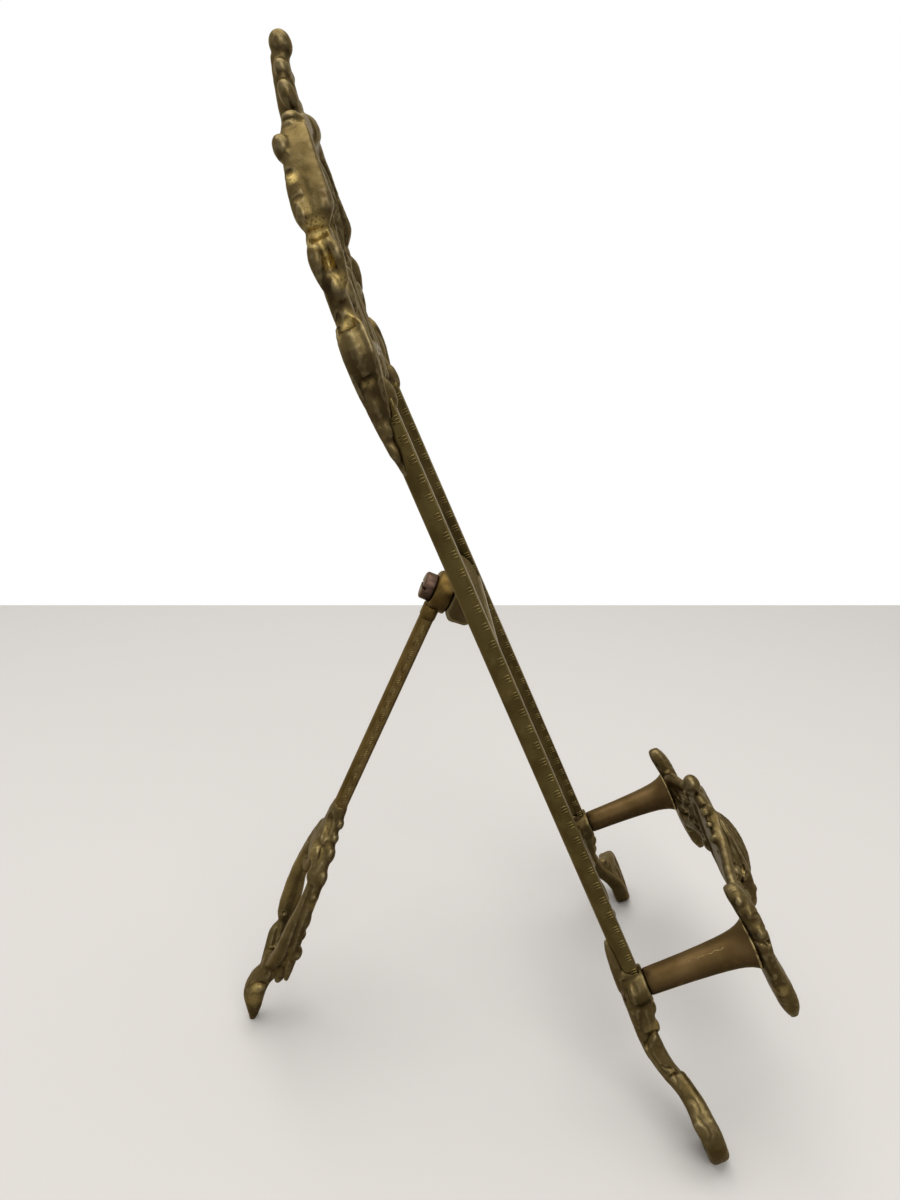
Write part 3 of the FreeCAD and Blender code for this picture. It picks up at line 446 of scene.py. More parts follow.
def crest():
    """Pierced top: scrolls that rise off the rails to a shell and a plume."""
    x, top = CREST_FOOT_ACROSS, CREST_TALL
    c = Casting(crest_bend, RAIL_TOP)
    # stem over the end of the rail, and the flank
    c.strand([
        (0.2, 0, 4.2, -4.4, 2.2), (0.4, 8, 5, -4.4, 2), (0.4, 16, 4.8, -4.4, 1.8), (-0.4, 26, 4, -4.6, 1.8),
        (-1, 36, 4, -4.6, 1.8), (-1.6, 46, 4.4, -5, 3)], x)
    # egg on the outside, with the pod's lips before and behind it
    c.beads([(6.7, 14.2, -0.7, 5.4, 7.8, 4), (5.4, 6.6, -0.6, 3.2, 4, 3)], x)
    c.strand([
        (3.6, 22.6, 1.5, 0.4, 2.4), (8.4, 19.6, 1.4, 1.6, 3.6), (10.4, 14, 1.3, 1.9, 3.9),
        (9, 8, 1.3, 1.2, 3.2), (6.4, 2, 1.3, 0.2, 2.2), (4.2, -4, 1.3, -0.8, 0.8)], x)
    c.strand([
        (3.6, 22, 1.5, -4.8, -3.2), (8.2, 18.4, 1.3, -5.3, -3.8), (9.4, 12, 1.2, -5.3, -3.8),
        (7.8, 6, 1.2, -5.2, -3.7), (5.8, 0, 1.3, -5, -3.6), (5, -7, 1.3, -4.6, -3.2),
        (4.6, -14, 1.2, -4, -2.8)], x)
    # leaf that runs down the back of the rail
    c.strand([
        (1.5, 6, 3.4, -4.4, -0.4), (2.6, -2, 2.9, -4.6, -1), (3, -12, 2.4, -4, -1),
        (2.8, -21, 1.2, -2.9, -1.2)], x)
    c.beads([
        (5.2, 1.4, -2.2, 2.4, 6.2, 2.2), (4.6, -6.6, -1.9, 1.9, 3.6, 1.8),
        (4.4, -13.6, -2.4, 1.7, 3.4, 1.6)], x)
    # leaf tip on the front of the rail
    c.beads([(-0.6, 1.6, 2.2, 3.1, 5, 2.2), (1.6, -1, 1.4, 2.4, 4, 1.6)], x)
    # petals on the flank
    c.strand([
        (1, 45, 2, -4.6, -1.2), (2.8, 41.4, 3, -5.6, -1), (3, 36.8, 2.6, -5.2, -2.2),
        (2.6, 33, 1.3, -4.4, -2.8)], x)
    c.strand([
        (1, 44.6, 2, -0.8, 2.6), (2.4, 41.2, 2.8, 0.4, 4.2), (2.4, 37.2, 2.6, 0.9, 4),
        (2, 33.4, 1.3, 1.4, 3.2)], x)
    c.bead(x + 1.8, 33, -1, 3.4, 5.6, 2.6)
    # upper lobe of the flank
    c.bead(x - 7.2, 70, -4, 3.2, 4, 2.8)
    # plain band: it swells into the upper lobe and runs up to the head
    c.strand([
        (-0.4, 49.2, 3, -4.6, 3.8), (-0.1, 51.6, 3.9, -5.6, 5.5), (-1, 54.6, 3.8, -5.9, 5.7),
        (-3, 59, 3.2, -5.7, 5.2), (-5.4, 63.6, 3, -5.2, 4.9), (-8.8, 69, 3, -4.8, 4.5),
        (-15, 73.8, 3.1, -3.9, 4), (-23, 76.4, 3.2, -3.1, 4), (-31, 77.4, 3.2, -2.9, 3.8)], x, power=4.4)
    # swelling where the band turns over
    c.bead(x - 16, 76.6, -0.4, 4.9, 3.2, 3.2)
    # leaf from the band towards the shell
    c.strand([
        (-5, 62, 2.9, -3.6, 2.4), (-11, 61, 3.3, -3.4, 2.8), (-17, 57, 3.1, -3.2, 3),
        (-23, 55, 2.3, -3.2, 2.8)], x, scallop=(3, 0.22))
    # inner C scroll with its curl
    c.strand([
        (-3, 11, 2.9, -3, 2.2), (-9.6, 15, 3.1, -3, 2.6), (-16, 22, 3.1, -3, 2.6), (-18.6, 31, 3, -3, 2.4),
        (-16, 39.4, 3, -3.2, 2.2), (-9, 43.6, 3, -3.4, 2.2), (-3, 41.6, 2.9, -3.6, 2.2)], x)
    c.strand([
        (-15.6, 31, 2.7, -2.8, 2.8), (-10.8, 33.4, 2.8, -2.8, 3.2), (-8.4, 29.4, 2.5, -2.6, 3),
        (-10.6, 26, 1.8, -2.2, 2.4)], x)
    # leaves up to the shell and beside the garland
    c.strand([
        (-18, 34, 2.9, -3, 2.6), (-23, 41, 3.6, -3, 3), (-26, 49, 3.5, -3.2, 3)], x, scallop=(3, 0.22))
    c.strand([
        (-20, 10, 2.7, -2.6, 2.6), (-23.6, 19, 3.3, -2.6, 2.8), (-27.4, 28, 2.7, -2.6, 2.6),
        (-32, 33, 1.8, -2.4, 2.4)], x, scallop=(3, 0.22))
    # garland
    c.strand([
        (-1, 4.6, 2.9, -3.2, 1.4), (-9, 4.2, 2.8, -3, 1.8), (-16.5, 7.8, 2.8, -2.8, 2.4),
        (-24, 12.4, 2.9, -2.8, 2.8), (-30.6, 13.6, 3.1, -2.8, 2.8), (-36.2, 13.4, 3.3, -2.8, 2.8)], x)
    # plume lobes
    c.beads([(6.8, top - 16.6, -0.6, 3.3, 4.7, 2.5, -12), (4.2, top - 9.6, -0.7, 2.7, 3.4, 2.4, -12)])
    # shell, the field behind it, and its crown
    c.dome(0, 57, 0, 14.4, 16.9, 5.2)
    c.strand([
        (0, 38, 5, -2.6, 2.2), (0, 46, 10.3, -3.2, 2.2), (0, 60, 15.3, -3.8, 3), (0, 72, 13.8, -3.8, 3.2),
        (0, 78, 8.9, -3.4, 2.8)], power=4, blunt=0.2, sides=24)
    c.beads([(0, 37, -0.2, 4.9, 4.8, 3.1), (0, 77.4, 1.2, 9.4, 5, 4.6)])
    # stem of the plume and its ball
    c.strand([
        (0, top - 28, 6.3, -4.8, 3), (0, top - 16, 4.3, -4.8, 1.8), (0, top - 5, 2.9, -3.8, 1.5)], power=4)
    c.bead(0, top - 2.5, 0.1, 3.7, 4.1, 3.4)
    # drop under the garland
    c.bead(0, 8.8, 0.2, 3.5, 5.5, 2.7)
    c.strand([(0, 13, 4.1, -2.6, 2.8), (0, 24, 2.9, -2.6, 2.8), (0, 36, 3.3, -2.6, 2.8)])
    r = c.skin(voxel=0.5, fillet=0.6)
    # flutes of the shell, veins of the leaves
    r.groove([[(2 * k * 0.45, 40), (2 * k, 60), (1.9 * k, 71)] for k in range(7)], 1.2, 0.85)
    r.groove([
        [(-4, 62.5), (-12, 60.5), (-21, 55)], [(-19, 35), (-23.4, 42), (-26, 50)],
        [(-21, 11), (-24, 20), (-30, 31)]], 1, 0.6, base=x)
    r.groove([
        [(-3, 10), (-9.6, 14.4), (-16.8, 22), (-19.4, 31), (-16.4, 40.4), (-9, 44.4)]], 0.9, 0.5, base=x)
    r.groove([[(-9, 3.4), (-16.5, 7), (-24, 11.6), (-36, 12.8)]], 0.9, 0.5, base=x)
    r.groove([[(-8.6, 69), (-5.4, 63), (-3.6, 56), (-2, 48)]], 1, 0.45, base=x)
    # what shows on the outside, from the head down
    r.groove([[(77.6, -4.6), (77.2, -1), (75.4, 4.6)]], 1.2, 0.8, seen=(0.8, 0.6, 0), across=(8, 99))
    r.hollows([
        (2, 46.8, -1.6, 1.9, 4.4, 1.2, 6), (4, 40, -0.4, 2.6, 1.1, 0.4), (4, 24.6, -3, 2.6, 1.1, 0.9, 12),
        (4, 23.4, -0.8, 1.8, 1.8, 0.6), (4, 21.6, 1.2, 2, 1.8, 0.5), (7, 7.6, -0.6, 1.6, 3, 0.5),
        (3, -2.4, 2, 1.8, 0.9, 0.9, 0, 0.15), (1, 63.4, -3.8, 1.2, 1.4, 0.7), (2, 56.4, -3, 1, 1.8, 0.35)],
        base=x, reach=6)
    r.hollows([(1, 56, -0.4, 5, 1.4, 0.3), (2, 52.4, -3.6, 3, 1.6, -0.5)], base=x, reach=6)
    # painted shade on the crest's spots that lie in shade
    r.darkened([
        (33, 69.7, -5, 3.4, 0.5), (38, 56.9, -3.9, 4.2, 0.45), (39, 52, -3.7, 4.6, 0.5),
        (42, 40.3, -3.4, 4.4, 0.35), (41, 37.1, 3.4, 4, 0.45), (37, 50.1, 4.9, 6.5, 1),
        (42, 32.7, -1.4, 6.5, 1), (41, 3.6, -3.8, 6, 0.35), (41, -5.2, -2.5, 5, 0.4),
        (0, 104, 0, 7, 0.35), (6, 96, 0, 5, 0.4), (8, 87, 0, 5, 0.4)])
    r.rubbed([
        (3, 47, -1, 3.4, 1), (3, 46.4, -3, 2.2, 0.9), (1, 52, -1, 4, 0.25), (4, 39.6, -0.4, 2, 1),
        (4, 34, 1, 2.2, 0.5), (4, 22.6, 1, 3.2, 0.7), (6, 7.8, -0.6, 2.4, 0.7), (-1, 62.1, -3.3, 1.6, 0.9),
        (-16, 80, 3, 3, 0.5)], base=x)
    r.waves(0.13, pitch=5, seed=1).waves(0.07, pitch=1.7, seed=2)
    return r.placed("crest_casting", FRAME_PLANE, "frame", "crest")


# Gallery

def gallery_bow(across, up):
    share = np.minimum(1.0, np.abs(across) / (ARM_ACROSS - 8.0))
    return GALLERY_OUT + GALLERY_BOW * (1 - share ** 2)


def gallery():
    """Pierced front rail: a shell in the middle and a leaf on the end of each arm."""
    end, half = ARM_ACROSS, 13.0
    g = Casting(gallery_bow, ARM_UP)
    # leaf on the end of the arm
    g.strand([
        (1.2, -32.6, 2.6, 3.4, 6.9), (1, -28, 4.8, 2, 8), (0.7, -21, 6.7, 1, 8), (0.3, -12, 8.3, 0.4, 6.9),
        (0, -3, 9.3, 0, 5.6), (-0.4, 6, 8.5, 0, 6.2), (-1, 13, 6.1, -0.8, 5.8), (-1.6, 19, 3.9, -1.8, 4.4),
        (-1.8, 22.6, 2.2, -2, 3)], end, power=3.6, sides=24)
    g.beads([
        (0.4, -26, 6, 2.9, 4.6, 2.4), (3.6, 3.6, 3.2, 4.4, 5, 1.9), (8.4, -7, 2.6, 1.2, 2.3, 1.3, 4),
        (7.7, -15, 3.4, 1.3, 3, 1.4, 6)], end)
    # inner lobe of the leaf and links to the middle
    g.strand([
        (-7, 10, 3, 0.6, 4.6), (-8.4, 0, 3.6, 0.4, 5.4), (-7, -10, 3, 0.6, 5.8), (-5, -18, 2.2, 1, 6)], end)
    g.strand([
        (-5, 7, 3.6, 0, 4.1), (-12, 12.8, 3.3, -0.4, 3.5), (-20, 14.8, 3, -0.4, 3.5),
        (-29, 16.2, 3.1, 0, 4.3), (-36, 18.6, 3.2, 0, 4.7), (-42, 21, 3.1, 0, 4.3)], end)
    g.strand([
        (-5, -9, 3.9, 0.3, 4.5), (-12, -8.4, 3.6, 0, 3.9), (-20, -6, 3.3, 0, 3.7),
        (-27, -6.2, 3.3, 0.2, 4.5), (-34, -10, 3.4, 0.4, 5.3), (-41, -15.6, 3.5, 0.4, 6.1)], end)
    # curls between them
    g.strand([
        (-14, 10, 2.5, 0, 3.7), (-18.6, 5.4, 2.6, 0, 4.1), (-15.4, 1.4, 2.2, 0.2, 3.7),
        (-12, 3.6, 1.5, 0.4, 2.9)], end)
    g.bead(end - 23, -1.2, 1.4, 3.1, 2.9, 2.5)
    g.bead(half + 8.6, -11.4, 2.4, 4.3, 3.9, 2.5)
    # frame of the shell, with a row of beads on its back edge
    g.strand([
        (-7, 24.2, 2.9, -0.4, 4.3), (-0.8, 19.4, 2.9, -0.4, 6.3), (2.4, 10, 2.8, -0.2, 7.7),
        (2.9, -1, 2.8, 0, 8.5), (1.2, -12, 2.8, 0.2, 7.7), (-4, -19.6, 2.9, 0.2, 6.5),
        (-10.8, -22.8, 3.1, 0.2, 5.5)], half, power=3.6)
    g.beads([
        (9.6, 26.2, 0.6, 2.1), (13.4, 23.2, 0.2, 1.5), (16.2, 18.8, 0.5, 2.1), (18.2, 14.2, 0.9, 1.6),
        (18.6, 8.4, 0.6, 1.3), (18.4, 3.4, 0.5, 1.8), (18, -2, 0.5, 1.3), (16.8, -7.6, 0.7, 1.7),
        (18.2, 0.2, 5.2, 1.7, 1.8, 1.6), (16.8, 10.8, 3.4, 1.5, 2.2, 1.6),
        (15.6, -8.4, 7, 1.7, 2.4, 1.8), (30, 0.9, 2.6, 2.2, 2.4, 1.7), (26, 3, 2.1, 2.8, 3.6, 2.1),
        (21.5, 6.2, 3.2, 2.8, 3.6, 2.3), (23.6, -3.6, 3.2, 2.6, 3.2, 2.2), (22, 12.8, 2, 2.4, 2.6, 1.9)])
    g.beads([
        (3.4, 14.6, 2.6, 2.1, 2.4, 1.9), (1.6, 19.4, 1, 1.7, 2, 1.6), (6.6, 8.6, 3.4, 1.9, 2.3, 1.8)], end)
    g.bead(half + 5, 8.8, 2.2, 1.6, 2.4, 1.7)
    # shell, the field behind it and the neck with its knob
    g.dome(0, -1.4, 1.8, half - 0.7, 19.9, 9.8)
    g.strand([
        (0, -23.5, 5, 0.2, 5.9), (0, -18, 10.9, 0, 4.5), (0, -4, half + 1.9, 0, 4.3),
        (0, 10, half + 0.9, 0, 4.3), (0, 19, half - 4.1, -0.2, 3.9)], power=4, blunt=0.2, sides=24)
    g.strand([
        (0, 14, 7.9, 0, 5.9), (0, 20, 6.5, -0.4, 5.1), (0, 25, 4.5, -0.8, 3.9), (0, 28.6, 1.9, -0.8, 2.3),
        (0, 31, 1.6, -1.1, 1.8)])
    g.beads([(0, 32.9, 0.3, 3.6, 4.2, 3.3), (0, -21.8, 4.8, 3.9, 3.5, 3.7)])
    r = g.skin(voxel=0.5, fillet=0.5)
    # flutes of the shell, veins of the leaves
    r.groove([
        [(2.1 * k * 0.55, -21), (2.1 * k, -4), (2 * k, 6), (2.1 * k * 0.7, 15)] for k in range(6)],
        1.2, 0.85)
    r.groove([[(-1.4, 20), (0, 2), (0.6, -24)]], 1.2, 0.6, base=end)
    r.groove([
        [(side * 0.8, 12 - 7 * k), (side * 5.2, 15.4 - 7 * k)] for k in range(5) for side in (-1, 1)],
        0.9, 0.45, base=end)
    r.groove([
        [(22.6, 4.6), (12, 6.4), (1, 6.9)], [(21, 6.2), (11, 8.2), (1, 8.9)]],
        0.95, 0.6, seen=(1, 0.1, 0.2), across=(8, 20))
    r.groove([[(8, -0.4), (6.4, 2), (5.2, 4)]], 0.9, 0.6, seen=(1, 0.3, 0), across=(38, 99))
    r.groove([
        [(3.8, 0.6), (2.6, 1.8), (1, 2), (-0.6, 1.4)], [(-1.8, 3.6), (-0.2, 3.4), (1.2, 4.2)]],
        0.8, 0.5, seen=(1, 0, 0), across=(24, 38))
    # what shows from the side
    r.hollows([
        (18, 7.7, 0.8, 1.2, 1.2, 0.9, 0, 0.1), (17.5, 3.6, 6, 2.1, 0.85, 1.2, 10, 0.3),
        (27, 2, -0.6, 0.9, 0.8, 1.2, 0, 0.1), (31, -0.4, 2.6, 1.6, 0.9, 0.7, 0, 0.1)], reach=7)
    r.hollows([(7, 5, 4.2, 1.2, 1, 1.3, 0, 0.15)], base=end, seen=(1, 0.2, 0.4), reach=5)
    # painted shade at the lower end of the leaf
    r.darkened([(0, -24, 2.5, 9, 0.8)], base=end)
    r.rubbed([
        (end + 7, -15.4, 3.6, 2.2, 0.5), (end - 1, 6, -0.6, 2.2, 0.5), (end, -8, -0.4, 2.4, 0.5),
        (20, 3.4, 2, 1.6, 0.7), (18, 3.4, 5.6, 1.4, 0.6)])
    r.waves(0.12, pitch=5, seed=3).waves(0.06, pitch=1.7, seed=4)
    # painted shade on the gallery's back faces
    return r.placed("gallery_casting", FRAME_PLANE, "frame", "gallery", shaded_back=1.5)


# Feet and apron

def foot(side, name):
    """Foot under a rail: arm seat, sheath leaf and a splayed S with an upturned scroll."""
    f = Casting(paired=False)
    top, spread = rail_across(RAIL_START), ARM_ACROSS
    stem = np.array([
        (0, 60, 4, -8.8, 0), (0.8, 52, 4.1, -9.1, -0.3), (2, 45, 3.5, -9.3, -2.1),
        (4.2, 37.6, 3.3, -9.1, -2), (7.2, 29.6, 3.1, -7.3, -1), (10.4, 21.2, 3, -4.2, 2),
        (12.9, 13.8, 3.1, -2.7, 3.8), (14.4, 7.8, 3.1, -2.6, 4.3), (17, 3.1, 3.2, -2.8, 4.4),
        (20.8, 2.4, 3.2, -2.6, 4.5), (24.2, 6.2, 3, -2.1, 4.9), (26, 12.2, 2.8, -1.7, 5.2),
        (26, 18, 2.6, -2.2, 5.2), (24.4, 22, 2.2, -2.8, 4.7)]) + (spread, 0, 0, 0, 0)
    f.strand([(top, RAIL_START, 3.5, -8.2, -0.2), *stem], power=3.4)
    f.strand([
        (0.2, RAIL_START - 6, 2.6, -9.3, -5), (-0.1, RAIL_START + 1, 2.8, -8.9, -4.6),
        (-0.7, RAIL_START + 8, 2.4, -8.2, -4.4), (-1.2, RAIL_START + 13, 1, -7.2, -5)], top)
    # web that fills the scroll
    f.strand([
        (12.4, 26, 3.4, -3.6, 2.2), (17, 21.6, 4.8, -2.6, 3.6), (20.6, 15.6, 5.4, -1.7, 4.6),
        (20.6, 8, 4.4, -1.9, 4.2)], spread, power=3)
    f.strand([
        (11, 28, 2.8, -5, 1.4), (15.4, 24.8, 3.4, -3.6, 3), (19.6, 22.6, 3.6, -2.8, 4.2),
        (23.2, 21.4, 3.2, -2.6, 4.6)], spread, power=3)
    # sheath that ends in a tip over the lower part
    f.strand([
        (0.4, 60, 4.3, -8.4, -0.6), (1.2, 53, 4.5, -8.8, -0.4), (2, 48, 4.3, -8.8, -0.9),
        (3, 44.6, 3.6, -8, -1.2)], spread, power=3, blunt=0.3)
    f.bead(spread + 3.4, 44.6, -1.9, 2.6, 2.2, 1.3)
    # seat of the arm
    f.add(*skin(turned([(-6, 6), (-5.6, 6.4), (0.6, 6.4), (1, 6)], spread, ARM_UP, 40)))
    f.beads([(0.9, 50.4, -1.7, 2.8, 3.2, 2.6), (23.6, 20.6, 1, 3, 3, 3.6)], spread)
    r = f.skin(voxel=0.42, fillet=0.4)
    outer = (0.9, 0.45, 0)
    r.groove([
        [(66, -5.6), (61, -6.6), (55.4, -7)], [(54.6, -3.6), (50.6, -5.6), (46, -6.9)]],
        1.9, 0.55, seen=(1, 0, 0))
    r.groove([[(42.9, -1.2), (43.6, -3), (42.8, -5), (40.2, -7.4)]], 1.6, 0.7, seen=outer)
    r.groove([[(41.4, -7.6), (36.7, -7.1), (32.9, -6.2), (29, -4.9), (26, -3.6)]], 1.5, 0.45, seen=outer)
    # thin engraved curls, and the scroll line on the toe
    r.groove([
        [(33, -5.2), (31.8, -4.2), (31, -2.8), (29.6, -2.2), (28.7, -2.8)],
        [(28.6, -3.8), (27.4, -2.4), (26.2, -2.4)],
        [(26.6, -2), (26.6, -0.3), (26.2, 1), (25, 1.2), (24.2, -0.2), (23.4, 0.4), (21.8, 1.5),
         (19.6, 1.8), (17.5, 0.4)]], 0.8, 0.3, seen=outer)
    r.hollows([
        (4, 48.6, -4.6, 3.2, 1.2, 0.5, 10), (4, 63, -3.4, 2.4, 1.3, 0.4)], base=spread, seen=outer, reach=6)
    for face in (1, -1):
        r.groove([
            [(15.6, 20), (17.4, 12), (19.2, 7.4), (22.2, 8.4), (23, 14), (21.6, 18.6), (19.6, 15.6)]],
            1.7, 0.8, base=spread, seen=(0, 0, face))
    r.groove([[(3.6, 40), (7, 30), (11.4, 18), (14.4, 9)]], 1, 0.45, base=spread)
    # painted shade inside the toe's scroll
    r.darkened([(26, 11, 1, 8, 0.6)], base=spread)
    r.rubbed([(4, 46, -3, 2.4, 0.5), (9.6, 28.2, -3.4, 1.6, 0.5)], base=spread)
    r.waves(0.12, pitch=4, seed=5 + side).waves(0.05, pitch=1.5, seed=8)
    if side < 0:
        r.co[:, 0] *= -1
        r.mesh.flip_normals()
    return r.placed(name + "_casting", FRAME_PLANE, "frame", name)


def apron():
    """Scrolled link between the feet, with a smooth boss and a drop in its middle."""
    a = Casting(lift=ARM_UP)
    a.strand([
        (48.4, -2, 3.1, -7.3, -3.4), (41, 2.8, 2.9, -7.3, -3.2), (32, 4, 2.7, -7.3, -3.2),
        (23, 1.2, 2.7, -7.3, -3.2), (15.6, -3, 2.9, -7.3, -3), (9.6, -2.6, 3, -7.3, -2.6),
        (4.4, 0.5, 3.1, -7.3, -2.2)])
    a.strand([
        (30, 3, 2.1, -6.8, -3.4), (27, -3.4, 2.1, -6.8, -3.2), (31, -7.4, 1.9, -6.6, -3.2),
        (35.2, -5.2, 1.4, -6.2, -3.6)])
    a.beads([(14.4, -7, -5, 3.1, 3.3, 2.1), (0, 0.6, -4.6, 9.5, 5.1, 3)])
    a.strand([(0, -2, 2.3, -6.6, -2.6), (0, -5, 1.5, -6, -3), (0, -8.5, 1.6, -6.2, -3)])
    a.bead(0, -9.8, -4.4, 2.6)
    r = a.skin(voxel=0.45, fillet=0.5)
    r.groove([[(46, -1.2), (41, 2.2), (32, 3.4), (23, 0.6), (15.6, -3.4)]], 0.9, 0.5)
    r.groove([[(30.2, 2.4), (27.6, -3.2), (31, -6.8), (34.6, -5)]], 0.8, 0.4)
    r.waves(0.12, pitch=4, seed=9)
    return r.placed("apron_casting", FRAME_PLANE, "frame", "apron")


# Rear leg's foot

def rear_foot():
    """Pierced foot of the leg: two scrolls round an opening, down to a leaf toe."""
    f = Casting(lift=REAR_FOOT_DOWN, paired=False)
    # neck that takes the strut
    f.strand([
        (0, -0.8, 4.2, 1.4, 7.2), (0, 3, 5, 1.1, 7.5), (0, 9, 6.7, 0.9, 7.7), (0, 15, 7.7, 0.7, 8.5),
        (0, 20, 6.9, 0.7, 8.7), (0, 25, 3.3, 1.6, 7.3)], power=3.2)
    # plain scroll at the back
    f.strand([
        (3.6, 13, 4.7, 0.9, 8.3), (8, 22, 3.9, 2.1, 9), (11.4, 31, 3.7, 3.1, 9.3), (13, 41, 3.6, 3.1, 9.5),
        (13.4, 50, 3.6, 1.4, 9.2), (12.8, 57, 3.6, 0.6, 8.6), (12, 62, 3.5, 0.5, 7.6),
        (11.4, 64.6, 2.7, 1.2, 6.2)], power=3.2)
    # leafy scroll at the front
    f.strand([
        (-3.6, 12, 4.7, 0.5, 7.9), (-8, 20, 4.1, -0.1, 6.7), (-11, 28, 3.7, -0.7, 5.2),
        (-12.4, 37, 3.5, -1.1, 5.2), (-12.8, 46, 3.3, -1.7, 5.8), (-11.8, 54, 3.3, -2.6, 5.8),
        (-9.8, 61, 3.2, -3.2, 5.6), (-6.8, 67.6, 3.2, -2.5, 5.6), (-3, 73.4, 3.4, -1.2, 5.8)], power=3)
    # scrolls back to the middle, and the curl that closes the top of the opening
    f.strand([
        (11, 65, 2.6, 0.8, 6), (9.6, 69.4, 3.1, 0.4, 7.9), (6.4, 75.4, 3.3, 0, 7.3),
        (2.4, 82, 3.4, -0.6, 6.4)])
    f.strand([
        (-2, 20, 3.1, 0.6, 6.9), (1.6, 28.4, 3.2, 1.2, 7.1), (6, 31.6, 2.9, 1.6, 7.6),
        (9.6, 29.4, 2.7, 2, 8.2)])
    # leaves and beads along the front
    f.beads([
        (-3.8, 4.6, 2.2, 2.3, 2.4, 1.8), (-5.8, 9.8, 2.2, 2.4, 2.5, 1.9), (-8.2, 15.8, 1.7, 3, 4, 2.3),
        (-11.2, 24.6, 1, 3, 4.4, 2.2), (-13.4, 31, 1.2, 2.6, 2.4, 2), (-13.2, 36.4, 0.6, 2.2, 2.8, 1.7),
        (-13.4, 42.4, 0.2, 2.8, 4.6, 2.1), (-12.8, 49, -0.8, 2.4, 2.6, 1.8),
        (-11.8, 58.6, -2.4, 2.8, 3, 2.2), (-6.8, 73.4, -1, 2.3, 5.4, 2.1),
        (-9.8, 24.6, 4.2, 3.2, 3.6, 2.4), (-8.4, 16.6, 6.2, 2.8, 3.4, 2.6)])
    f.strand([(-10.8, 58, 2.5, -3.4, 1.7), (-11.2, 66, 2.2, -3.8, -0.4), (-11.6, 71.4, 1.3, -3.9, -2)])
    # toe
    f.strand([
        (0, 74, 4.1, -1.2, 7), (0, 79.5, 4.5, -1.2, 6.5), (0, 84, 4.6, 0.2, 8.3), (0, 88.5, 4.6, 0.4, 9),
        (0, 92.8, 4.5, 0, 8.8), (0, 97.6, 3.9, -0.6, 6.2), (0, 102, 2.7, -0.6, 3.4),
        (0, 104.8, 1.5, -0.4, 1.8)], power=3)
    f.bead(0, 79, 2.6, 3.9, 4.5, 2.9)
    r = f.skin(voxel=0.42, fillet=0.4)
    near = (-1, 0, 0)
    r.hollows([(-6.2, 5.8, 6.6, 4.8, 1.7, 1.1, 16, 0.2)], seen=(-0.9, 0, 0.4), reach=5)
    # swirl under the neck, then the line between the plain bar and its leaves
    r.groove([
        [(13, 5.2), (17, 4.4), (21, 5), (22.4, 7)], [(12.6, 7.6), (15.6, 8.6), (18.6, 8)]],
        1.5, 0.6, seen=near, across=(-99, -5))
    r.groove([[(27, 3.6), (36, 3), (50, 1.6), (61, 0.4), (70, 0.4)]], 1.7, 0.6, seen=near, across=(-99, -5))
    r.groove([
        [(66, 5.4), (71, 4.4), (79, 3.4)], [(70, 2.6), (76, 1.6), (82, 1)]],
        1.7, 0.5, seen=near, across=(-6, 99))
    r.hollows([(9.4, 59.4, 5.4, 0.8, 0.8, 0.6, 0, 0.1)], seen=near, reach=4)
    for side in (-1, 1):
        r.groove([[(87.6, 7.4), (85.4, 6), (84.6, 4.4), (84.6, 2.6)]], 2.8, 1.2, seen=(side, 0, 0))
    r.hollows([(8, 20.5, 7.6, 2.8, 1.4, 1.2, 16, 0.1)], seen=(-0.4, 0, 0.9), reach=5)
    r.hollows([(14, 24.5, 5.4, 3, 1.6, 0.9, 0, 0.1)], seen=(1, 0, 0), reach=4)
    r.groove([[(0, 78), (0, 100)]], 1, 0.5)
    # painted shade by the neck
    r.darkened([(-2, 5, 4.5, 6, 0.75), (3, 10, 5, 5, 0.6)])
    r.rubbed([
        (12.8, 36, 6.5, 7, 0.25), (13.2, 49, 6, 7, 0.22), (-7, 17, 6.2, 3.6, 0.5),
        (-6.2, 5.6, 6.8, 2.6, 0.5), (-4.6, 86.4, 5.4, 2.4, 0.7), (-4.4, 92, 4, 3.4, 0.35),
        (-13, 34, 0.5, 2.5, 0.4)])
    r.waves(0.12, pitch=4, seed=11).waves(0.05, pitch=1.5, seed=12)
    return r.placed("rear_foot_casting", LEG_PLANE, "leg", "rear_foot")


# Milled and turned pieces

class Fitting(Lumps):
    """Plain surfaces of one piece, each with its own rubbed and grimy places."""

    def __init__(self):
        super().__init__()
        self.edge, self.hollow = [], []

    def add(self, verts, faces, edge=0.0, hollow=0.0):
        self.gather(verts, faces)
        self.edge += list(np.broadcast_to(edge, len(verts)))
        self.hollow += list(np.broadcast_to(hollow, len(verts)))

    def lathe(self, profile, across, up, sides=72, edge=0.0):
        """Turned about the out direction, through (out, radius)."""
        self.add(*skin(turned(profile, across, up, sides)), edge)

    def rib(self, place, face, half, size, slant, edge):
        """Low rounded ridge of (length, width, height) out of a side face."""
        (across, up, out), (length, width, height) = place, size
        rings = []
        for share, low in ((-1, 0.35), (-0.8, 1), (0.8, 1), (1, 0.35)):
            along = share * length / 2
            ring = []
            for angle in map(math.radians, (0, 45, 90, 135, 180, 270)):
                high = (math.sin(angle) * height - 0.06) * low
                wide = math.cos(angle) * width / 2 * low
                ring.append((across + face * (half + high), up + wide + slant * along, out + along))
            rings.append(ring)
        self.add(*skin(rings), edge)

    def made(self, name, plane, body, *nodes):
        mesh = self.mesh(name)
        mesh.transform(plane)
        normals = np.zeros(len(self.verts) * 3)
        mesh.vertices.foreach_get("normal", normals)
        # painted shade on faces turned away from the light above
        under = np.clip(PLAIN_SHADE - normals.reshape(-1, 3) @ OPEN_SKY, 0, 1)
        return piece(name, mesh, {"edge": self.edge, "hollow": self.hollow, "under": under}, body, *nodes)


def capped(values):
    """A mask's values over a skin's rings, with those of its two end points."""
    return np.append(values, (0, 0))


def drawn_bar(profile, path):
    """Rings of one profile of (across, out), set at each (across, up) of a straight path."""
    return [np.column_stack([across + profile[:, 0], np.full(len(profile), up), profile[:, 1]])
            for across, up in path]


